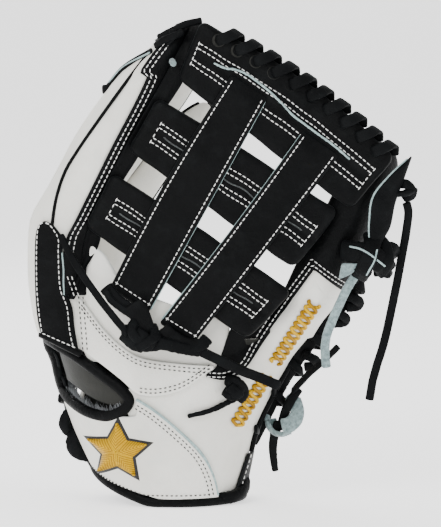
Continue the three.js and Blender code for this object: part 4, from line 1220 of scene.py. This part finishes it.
slot_edges = []
for bar in CROSSBARS:
    surface = bar_surface(bar)
    (upper_left, upper_right), (lower_left, _) = bar["upper"], bar["lower"]
    body = panel(surface, span(upper_left, upper_right), span(upper_left, lower_left), 72, 26, 6.2, -3.1, 3.6,
                 bar_relief(bar), corner=5.5)
    add(bar["name"] + "_leather", [body], BLACK, bar["name"])
    start, end = bar["seam"]
    for t in (0.33, 0.405, 0.595, 0.67):
        stitch(white_rows, lambda k: surface(k, t, 3.35), 150, start + 0.012, end - 0.012)
    for s in bar["seam"]:
        stitch(white_rows, lambda t: surface(s, t, 3.3), 20, 0.335, 0.665)
    if bar is not CROSSBARS[0]:
        edge = [surface(mix(start + 0.05, end - 0.05, k / 30), 0.5 + 0.012 * math.sin(k), 2.6)
                for k in range(31)]
        slot_edges.append(sweep(edge, 0.9, 0.7, AHEAD, 8, 0.8))
add("crossbar_dark_edges", slot_edges, DARK_EDGE)
TOP_CUT = [(0, 289.5), (7, 286.5), (13, 285.8), (20, 283), (28, 277.5), (35, 271.8), (43, 264), (50, 256.5),
           (58, 250.5), (66, 244.5), (73, 239.5), (79, 234.8), (86, 228.5)]
cut_line = [Vector((x, web_depth(x) - 4.6, z)) for x, z in TOP_CUT]
add("top_bar_cut_edge", [sweep(cut_line, 1.35, 1.6, AHEAD, 10, 0.8, spacing=0.7, ragged=0.45)], RAW_EDGE)


# Posts over the crossbars, stitched down both sides and across the foot
def post_surface(post):
    first, second = zip(post["foot"], post["head"])

    def read(s, t, offset):
        return band_point(first, second, post["bow"], s, t, offset - smoothstep(0.93, 1.0, s) * 2.2)
    return read


def post_relief(s, t):
    return 0.3 * noise.noise(Vector((s * 9, t * 2, 4.0)))


post_edges = []
for post, side in zip(POSTS, (1.0, 0.0)):
    surface = post_surface(post)
    body = panel(surface, span(post["foot"][0], post["head"][0]), span(*post["foot"]), 70, 16, POST, 3.0, 1.5,
                 post_relief, corner=2.2)
    add(post["name"] + "_leather", [body], BLACK, post["name"])
    for t in (0.09, 0.91):
        stitch(white_rows, lambda k: surface(k, t, POST + 3.2), 110, 0.035, 0.97)
    stitch(white_rows, lambda k: surface(0.035, k, POST + 3.2), 24, 0.09, 0.91)
    edge = [surface(k / 40, side, 4.0) for k in range(1, 40)]
    post_edges.append(sweep(edge, 0.55, 1.2, AHEAD, 8, 0.8, taper=lambda k: 1 + 1.6 * (1 - k) ** 6))
add("post_raw_edges", post_edges, RAW_EDGE)

# The lace's ten turns over the web's top edge, each out of a round hole
REACH = BAND / 2 + LACE_THICK / 2 + 0.7
LOOP = [(-8.6, 0.5, -2.9), (-7.0, -REACH - 0.2, -2.1), (-3.2, -REACH - 1.5, -0.6), (0.8, -REACH - 0.5, 1.0),
        (3.8, -0.6, 2.2), (5.6, REACH - 0.6, 0.6), (5.6, REACH + 0.4, -5)]
LOOP_FACES = [(-0.5, -1, -0.1), (-0.3, -1, 0), (0, -1, 0.1), (0.25, -0.9, 0.35), (0.55, -0.2, 0.8),
              (0.5, 0.8, 0.3), (0.2, 1, 0)]
HOLE = 4.3
HOLE_SIDES = 24


def lace_hole(centre):
    """A shallow dish: a rim, a smaller ring behind it, its floor and its back."""
    ring = []
    for k in range(HOLE_SIDES):
        angle = 2 * math.pi * k / HOLE_SIDES
        ring.append(centre + Vector((math.cos(angle) * HOLE, 0, math.sin(angle) * HOLE)))
    points = ring + [centre + (p - centre) * 0.6 + Vector((0, 1.6, 0)) for p in ring]
    faces = ring_faces(0, HOLE_SIDES, HOLE_SIDES)
    for first, depth in ((HOLE_SIDES, 2.0), (0, 2.6)):
        faces += [(first + k, first + (k + 1) % HOLE_SIDES, len(points)) for k in range(HOLE_SIDES)]
        points.append(centre + Vector((0, depth, 0)))
    return points, faces, None, 0


loops = []
holes = []
for i in range(TOP_LOOPS):
    s = 0.14 + 0.8 * i / (TOP_LOOPS - 1)
    edge = band_point(CROSSBARS[0]["upper"], CROSSBARS[0]["lower"], CROSSBARS[0]["bow"], s, 0.0, 0.0)
    path = [edge + Vector(step) for step in LOOP]
    loops.append(sweep(path, 7.4, 3.0, LOOP_FACES, 14, spacing=0.8, ragged=0.05))
    holes.append(lace_hole(edge + Vector((-7.6, -BAND / 2 - 0.5, -2.6))))
add("top_edge_lacing", loops, RAWHIDE, *[f"top_loop_{i:02d}" for i in range(1, TOP_LOOPS + 1)])
add("lace_holes", holes, LINING)


# Lacing between the fingers near their tips
def finger_lace(near, far, z):
    between = (finger_point(near, 180, z, 0) + finger_point(far, 0, z, 0)) / 2
    out = (finger_point(near, 90, z, 0) - finger_point(near, 270, z, 0)).normalized()
    lift = LACE_THICK / 2 + 0.65
    path = [finger_point(near, 122, z + 3.4, lift - 2.4), finger_point(near, 130, z + 3, lift),
            finger_point(near, 150, z + 1.5, lift), between + out * 9,
            finger_point(far, 30, z - 1.5, lift), finger_point(far, 50, z - 3, lift),
            finger_point(far, 58, z - 3.4, lift - 2.4)]
    return sweep(path, LACE_WIDTH, LACE_THICK, (out.x, out.y, 0.1))


for near, far, z in (("index", "middle", 268), ("middle", "ring", 256), ("ring", "little", 236)):
    lace = finger_lace(STALLS[near + "_finger"], STALLS[far + "_finger"], z)
    add(f"tip_lace_{near}_{far}", [lace], RAWHIDE, f"lace_{near}_{far}")
# The same lace's long run over the index finger's back edge, its cut side showing grey
run = [index_back(-40, 297, 1.6), finger_point(INDEX, 120, 285, 1.4), finger_point(INDEX, 132, 270, 1.0)]
add("tip_lace_run", [sweep(run, 3.8, 1.8, (-0.8, -0.5, 0.4))], RAWHIDE)
run = [index_back(-41, 295.5, 2.5), finger_point(INDEX, 119, 286, 2.4), finger_point(INDEX, 128, 276, 2.2)]
add("tip_lace_cut_side", [sweep(run, 1.3, 0.7, (-0.8, -0.5, 0.4), 10)], RAW_EDGE)
# The lace's knot on the fingertip, its strap to the web's corner and the grey tie beside it
tip_knot = [
    [(-38, 2, 300), (-33, -3, 304), (-27, -4, 306.5), (-21, -2, 309)],
    [(-36, 4, 305), (-30, 1, 308.5), (-24, 0, 311.5), (-17, 2, 314.5), (-9, 3, 316)],
    [(-31, 0, 301), (-28, -3.5, 305), (-27, -1, 310)],
]
tip_rows = [(4.6, 3.0, (-0.2, -1, 0.4), path) for path in tip_knot]
add("fingertip_lacing", strips(tip_rows, ragged=0.15), RAWHIDE)
peg = [(-27.5, -1.5, 290.5), (-27, -4.5, 289.5), (-26.5, -6.0, 289)]
add("corner_tie", [sweep(peg, 4.0, 4.0, (0, 0, 1), 14, 0.95)], SUEDE)

# Lacing at the heel: the front's angle, the palm's place, the way in, the lift and the face of each side
HEEL_SIDES = {"left": (-6, 0.02, 1, 4.75, (-1, 0.3, 0)), "right": (171, 0.985, -1, 1.85, (1, 0, 0))}
HEEL_LACES = (("left", "low", 42), ("left", "high", 60), ("right", "low", 42), ("right", "high", 66))
for side, level, z in HEEL_LACES:
    turn, end, way, lift, face = HEEL_SIDES[side]
    path = [front_point(turn + 9 * way, z + 5, lift), front_point(turn, z + 3, lift),
            palm_point(end, z - 2, 2.5), palm_point(end + 0.07 * way, z - 5, 2.5)]
    name = f"heel_lace_{side}_{level}"
    add(name + "_turn", [sweep(path, LACE_WIDTH, LACE_THICK, face)], RAWHIDE, name)


def tab_surface(s, t, offset):
    return front_point(mix(mix(146, 160, t), 188, s), mix(3, 31, t), offset)


add("heel_side_tab", [panel(tab_surface, 26, 31, 24, 22, 2.4, 0.4)], BLACK, "heel_tab")
stitch(white_rows, lambda t: tab_surface(0.13, t, 3.0), 40, 0.1, 0.94)
heel_roll = [(0, 15, 4.6), (8, 15, 4.8), (13.5, 19, 5.6), (17.5, 26, 7.6), (19, 35, 11), (17, 43, 16),
             (14.5, 49, 22)]
add("heel_side_roll", [sweep(heel_roll, 8.0, 7.6, (0.4, -1, 0), 16, 0.85, ragged=0.2)], BLACK)


def back_edge_surface(s, t, offset):
    """The black edge leather that closes the hand's left side, behind the strap and the window."""
    z = mix(22, 112, t)
    wave = 1.2 * math.sin(z * 0.33) + 0.8 * math.sin(z * 0.71)
    return front_point(mix(-22, 4, s) - wave, z, offset + 0.5 * math.sin(z * 0.4))


add("left_edge_leather", [panel(back_edge_surface, 26, 90, 20, 60, 2.6, -2.8)], BLACK)

# Tongues under the posts' feet, and the web's knot, its first strips drawn in towards its middle
TONGUES = [
    ("post_foot_tongue", 13.5,
     [(-52.5, -13.5, 134.5), (-48.5, -15, 128), (-46, -15.5, 121), (-44, -14.5, 114)]),
    ("right_foot_tongue", 8.5, [(-33, -15.5, 119), (-28, -16.5, 114.5), (-21, -16, 110), (-12, -15, 107)]),
]
for name, wide, path in TONGUES:
    add(name, [sweep(path, wide, 3.0, (0, -1, 0.1), 14, 0.5)], BLACK)
KNOT_MIDDLE = Vector((-46.5, -16, 113))
KNOT_CORE = [
    (10.0, 5.2, (0, -1, 0.1),
     [(-62, -11, 116), (-56, -16, 111.5), (-47, -19, 108.5), (-37, -18, 108), (-29, -13, 110)]),
    (8.0, 5.0, (-0.3, -1, -0.3), [(-58, -10, 122), (-60, -15, 115), (-55, -18.5, 108.5), (-46, -18, 105)]),
    (6.4, 4.6, (-0.2, -1, 0.2),
     [(-48, -9, 122), (-53, -16, 126.5), (-56, -20, 121), (-52, -21.5, 114), (-46, -18, 108)]),
    (6.08, 4.4, (0.2, -1, 0.2), [(-38, -10, 123), (-36, -18, 117), (-38, -22, 111), (-42, -20, 104.5)]),
    (5.92, 4.0, (0, -1, 0.1), [(-30, -12, 116), (-35, -21, 114), (-43, -23.5, 109.5), (-51, -21, 104.5)]),
]
KNOT_ENDS = [
    (8.0, 4.4, AHEAD, [(-42, -17, 111), (-31, -18.5, 109), (-19, -16, 106), (-10, -13.6, 104.4)]),
    (8.4, 3.4, (0, -1, 0.2),
     [(-36, -12, 115), (-27, -15.5, 111.5), (-17, -15.5, 108.5), (-9, -14, 108.5), (-5, -11, 112)]),
    (9.5, 5.0, (0, -1, 0.2), [(-53, -15, 118), (-47.5, -19.5, 114), (-41, -18, 110)]),
    (9.0, 4.2, AHEAD, [(-50, -10, 127), (-57, -11, 132), (-64, -11, 137.5), (-70, -9, 145)]),
    (4.6, 3.2, AHEAD, [(-70, -12.5, 143), (-67, -14, 137.5), (-60, -14, 132), (-53, -13, 128)]),
]
core = [(wide, thick, face, [KNOT_MIDDLE.lerp(Vector(p), 0.74) for p in path])
        for wide, thick, face, path in KNOT_CORE]
add("web_foot_knot", strips(core + KNOT_ENDS, 14, 0.6, 0.14), RAWHIDE, "web_knot")
pad_lace = [(-99.5, 5, 177), (-96, 2, 170), (-87.5, -7, 156.5), (-74, -15, 138), (-63, -19.5, 124.5),
            (-56, -18, 116)]
add("pad_tie_lace", [sweep(pad_lace, 4.8, 2.4, AHEAD, 14, ragged=0.08)], RAWHIDE, "pad_lace")

SMALL_KNOT = [
    (8.4, 5.2, AHEAD, [(8, 1, 84), (14, -3, 82), (18, 0, 76), (15, 3, 71)]),
    (8.4, 5.2, (0.3, -1, 0), [(7, 0, 77), (12, -4, 75), (17, -2, 81)]),
    (8.0, 5.5, (0, -1, 0.2), [(10, -3, 80), (13, -5, 77), (15, -4, 73)]),
]
small_end = sweep([(15, 4.5, 72), (9, 3.6, 69), (0, 0.6, 65), (-9, -3.4, 62.5), (-17, -4.9, 61)], 4.2, 2.4,
                  (0.1, -1, 0.1), ragged=0.22, taper=lambda k: 1 - 0.3 * k)
add("small_back_knot", strips(SMALL_KNOT, ragged=0.1) + [small_end], RAWHIDE, "small_knot")

LEAF_MIDDLE = track([166, 176, 186, 202, 216, 229], [102.5, 103.5, 106, 109, 117, 126])
LEAF_HALF = track([166, 176, 186, 202, 216, 229], [2.2, 4.2, 6.8, 7.2, 4.6, 0.6])


def leaf_surface(s, t, offset):
    z = mix(167, 229.5, t)
    aside = (2 * s - 1) * LEAF_HALF(z)
    x = LEAF_MIDDLE(z) + aside
    return Vector((x, -13.4 + 0.2 * (x - 100) - offset + 2.2 * (2 * s - 1) ** 2, z - 0.3 * aside))


add("thumb_leaf_end", [panel(leaf_surface, 13, 62, 14, 44, 2.0, 0.0)], RAWHIDE, "thumb_leaf")
pale = [leaf_surface(0.0, k / 24, 1.0) for k in range(1, 24)]
add("thumb_leaf_raw_edge", [sweep(pale, 1.5, 1.8, AHEAD, 8, 0.8)], RAW_EDGE)

UPPER_KNOT = [
    (6.4, 3.6, (0.4, -1, 0), [(118, -4, 212), (124, -8, 211), (127, -6, 205), (122, -2, 202)]),
    (6.4, 3.6, (0, -0.3, 1), [(116, -6, 205), (122, -10, 206), (128, -4, 208)]),
]
add("upper_thumb_knot", strips(UPPER_KNOT, 12, 0.65, 0.12), RAWHIDE, "upper_knot")
LOWER_KNOT = [
    (14.0, 6.5, (0, -1, 0.1),
     [(83, -5, 168), (90, -12, 168), (98, -15, 167), (106, -13, 162), (111, -6, 156)]),
    (11.0, 5.0, AHEAD, [(101, -7, 179), (101, -15, 173), (98.5, -19, 165), (95.5, -16, 157), (93, -8, 152)]),
    (8.5, 4.5, (0.4, -1, 0), [(105, -6, 177), (110, -11, 170), (111, -13, 162), (107, -9, 155)]),
    (8.0, 4.5, (0.6, -1, 0), [(108, -6, 171), (114, -5, 170), (116, 0, 167), (112, 8, 162)]),
    (7.0, 4.0, (0.4, -1, 0), [(104, -6, 158), (110, -2, 154), (112, 6, 153), (104, 14, 153)]),
]
add("lower_thumb_knot", strips(LOWER_KNOT, 14, 0.6, 0.12), RAWHIDE, "lower_knot")
LOWER_KNOT_PALE = [
    (1.2, 1.0, (0, -1, 0.3),
     [(87, -15, 172), (93, -19.5, 171), (99, -22.2, 168), (105, -18.5, 163), (109, -15, 159.5)]),
    (1.1, 1.0, (0, -1, 0.3), [(104, -19.5, 170), (102.5, -21, 164), (99.5, -20, 158), (97.5, -17, 154)]),
]
add("lower_knot_raw_edges", strips(LOWER_KNOT_PALE, 8, 0.8), RAW_EDGE)


def flap_surface(s, t, offset):
    low = Vector((79.5, -10.5, 150.5)).lerp(Vector((87, -11, 153.5)), s)
    high = Vector((81.5, -10.5, 161)).lerp(Vector((96, -14, 161)), s)
    return low.lerp(high, t) + Vector((0, -offset - 1.2 * math.sin(math.pi * s), 0))


add("suede_flap", [panel(flap_surface, 12, 10, 12, 10, 2.0, 0.0, corner=1.5)], SUEDE)

# The grey suede tie on the thumb's root, the black lace inside it and its black tail
inner_lace = [(54.5, 38, 73), (50, 39, 66), (46.5, 41, 59), (44.5, 44, 52), (43, 46, 46)]
add("loop_inner_lace", [sweep(inner_lace, 6.2, 2.6, (-0.3, -1, 0))], RAWHIDE)
SUEDE_LOOP = [
    (4.4, 3.0, (0, -0.6, -1),
     [(49, 41, 44.5), (43.5, 42.5, 42.5), (38, 44, 44), (34.5, 46, 49), (34, 50, 55)]),
    (5.5, 2.6, (-1, -0.5, 0), [(53, 43, 66), (49, 46, 66), (46, 49, 60), (45, 49, 52)]),
    (5.0, 2.6, AHEAD, [(26, 54, 50), (33, 51, 49), (40, 49, 50)]),
]
fold = sweep([(53, 43, 66), (54, 40.5, 60), (53, 39, 54), (49, 39, 49.5), (44.5, 40, 48)], 10.5, 3.0,
             (0, -1, 0.1), 12, 0.6, ragged=0.08,
             taper=lambda k: 0.62 + 0.38 * math.sin(math.pi * min(k * 1.25, 1) / 2))
add("suede_tie", [fold] + strips(SUEDE_LOOP, ragged=0.08), SUEDE, "suede_loop")
tail = sweep([(42, 46, 50), (39, 46, 42), (38, 47, 31), (39.5, 48, 18)], 6.8, 2.8, (0.2, -1, 0), ragged=0.1,
             taper=lambda k: 1 - 0.35 * k)
add("suede_tie_tail", [tail], RAWHIDE)


# Stitching: a node tree that sews each kept row, thread by thread
def stitch_tree(look):
    tree = bpy.data.node_groups.new("sew_" + look.name, "GeometryNodeTree")
    tree.interface.new_socket("Geometry", in_out="INPUT", socket_type="NodeSocketGeometry")
    sockets = {label: tree.interface.new_socket(label, in_out="INPUT", socket_type="NodeSocketFloat")
               for label in ("Pitch", "Length", "Thickness")}
    tree.interface.new_socket("Geometry", in_out="OUTPUT", socket_type="NodeSocketGeometry")

    def step(kind, **inputs):
        node = tree.nodes.new(kind)
        for key, value in inputs.items():
            plug(tree, node.inputs[key], value)
        return node

    given = step("NodeGroupInput").outputs
    curve = step("GeometryNodeMeshToCurve", Mesh=given["Geometry"])
    even = step("GeometryNodeResampleCurve", Curve=curve.outputs["Curve"])
    if "Mode" in even.inputs:
        even.inputs["Mode"].default_value = "Length"
    else:
        even.mode = "LENGTH"
    plug(tree, even.inputs["Length"], given["Pitch"])
    along = step("GeometryNodeInputTangent").outputs["Tangent"]
    turn = step("FunctionNodeAlignRotationToVector", Vector=along)
    turn.axis = "Z"
    bead = step("GeometryNodeMeshUVSphere", Segments=6, Rings=5, Radius=0.5)
    size = step("ShaderNodeCombineXYZ", X=given["Thickness"], Y=given["Thickness"], Z=given["Length"])
    threads = step("GeometryNodeInstanceOnPoints", Points=even.outputs["Curve"],
                   Instance=bead.outputs["Mesh"], Rotation=turn.outputs["Rotation"],
                   Scale=size.outputs["Vector"])
    real = step("GeometryNodeRealizeInstances", Geometry=threads.outputs["Instances"])
    paint = step("GeometryNodeSetMaterial", Geometry=real.outputs["Geometry"], Material=look)
    step("NodeGroupOutput", Geometry=paint.outputs["Geometry"])
    return tree, sockets


def sew(name, rows, look, seam):
    points = []
    edges = []
    for row in rows:
        first = len(points)
        points.extend(row)
        edges.extend((first + i, first + i + 1) for i in range(len(row) - 1))
    guide_mesh = bpy.data.meshes.new(name + "_guide")
    guide_mesh.from_pydata(points, edges, [])
    guide = add_object(name + "_guide", guide_mesh)
    tree, sockets = stitch_tree(look)
    sewing = guide.modifiers.new("sewing", "NODES")
    sewing.node_group = tree
    for label, size in seam.items():
        sewing[sockets[label].identifier] = size * MM
    bpy.context.view_layer.update()
    seen = guide.evaluated_get(bpy.context.evaluated_depsgraph_get())
    mesh = bpy.data.meshes.new_from_object(seen)
    mesh.name = name
    bpy.data.objects.remove(guide)
    mesh.polygons.foreach_set("use_smooth", [True] * len(mesh.polygons))
    hold(add_object(name, mesh), look)


# A generic five-pointed star and a generic braid in gold thread, part of it in a darker gold that is painted
# shade
STAR_MIDDLE = (-61.5, 36.5)
ARM_BARS = 17
BRAID_POINTS = 110
BRAID_WAVES = 11


def strap_face(x, z, offset):
    return front_at(x, z, 2.5 + offset)


def star(outer, inner, steps=8):
    corners = []
    for i in range(10):
        radius = inner if i % 2 else outer
        angle = math.pi / 2 + math.pi * i / 5
        corners.append(Vector(STAR_MIDDLE) + Vector((math.cos(angle), math.sin(angle))) * radius)
    line = []
    for a, b in zip(corners, corners[1:] + corners[:1]):
        line.extend(a.lerp(b, k / steps) for k in range(steps))
    return line


def satin_shape(outline, height, slot, rows=10):
    """A padded satin-stitched shape: rings of its outline drawn in towards the middle."""
    centre = sum(outline, Vector((0, 0))) / len(outline)
    count = len(outline)
    points = []
    faces = []
    for j in range(rows):
        rise = height * math.sqrt(1 - (1 - min(j / rows * 3.2, 1)) ** 2)
        points += [strap_face(*p.lerp(centre, j / rows), rise) for p in outline]
        if j:
            faces += ring_faces((j - 1) * count, j * count, count)
    for first, rise in (((rows - 1) * count, height), (0, -0.6)):
        faces += [(first + i, first + (i + 1) % count, len(points)) for i in range(count)]
        points.append(strap_face(*centre, rise))
    return points, faces, None, slot


def satin_bars(outer, inner):
    """A star filled with padded bars of thread, each arm sewn across from its own ridge; every other bar is
    in the darker gold, painted shade between lit bars.
    """
    parts = []
    tips = star(outer, inner, 1)
    for i in range(0, len(tips), 2):
        tip = tips[i]
        for near in (tips[i - 1], tips[i + 1]):
            for j in range(ARM_BARS):
                k = (j + 0.5) / ARM_BARS
                rim = near.lerp(tip, k)
                ridge = Vector(STAR_MIDDLE).lerp(tip, k * 0.97 + 0.02)
                line = [strap_face(*ridge, 2.5), strap_face(*(ridge + rim) / 2, 2.3), strap_face(*rim, 0.9)]
                # Odd bars take the third look, the darker gold: painted shade
                parts.append(sweep(line, 1.2, 0.9, AHEAD, 6, 1.0, 2.0, slot=2 if j % 2 else 0))
    return parts


def braid_strand(first, last, phase):
    """One strand of a gold braid that climbs the thumb."""
    points = []
    for i in range(BRAID_POINTS):
        share = mix(first, last, i / (BRAID_POINTS - 1))
        turn = share * 2 * math.pi * BRAID_WAVES + phase
        spot = Vector((mix(13, 62.5, share), mix(52.5, 131, share)))
        spot += Vector((-0.846, 0.533)) * (4.0 * math.sin(turn))
        points.append(thumb_side(*spot, 1.05 + 0.6 * math.cos(turn)))
    # The strand without a phase takes the darker gold: painted shade on one strand of each pair
    return sweep(points, 2.3, 1.7, (0.2, -1, 0), 10, 0.9, 0.8, slot=0 if phase else 1)


star_parts = [satin_shape(star(23.5, 11.8), 0.9, 1), satin_shape(star(19, 9.2), 1.4, 0)] + satin_bars(19, 9.2)
hold(build("strap_star", star_parts, [GOLD_THREAD, BLACK_THREAD, SHADED_GOLD]), GOLD_THREAD)
braid = [braid_strand(low, high, phase) for low, high in ((0.0, 0.4), (0.51, 1.03)) for phase in (0, math.pi)]
hold(build("thumb_braid", braid, [GOLD_THREAD, SHADED_GOLD]), GOLD_THREAD)

sew("white_stitching", white_rows, WHITE_THREAD, WHITE_SEAM)
sew("black_stitching", black_rows, BLACK_THREAD, BLACK_SEAM)
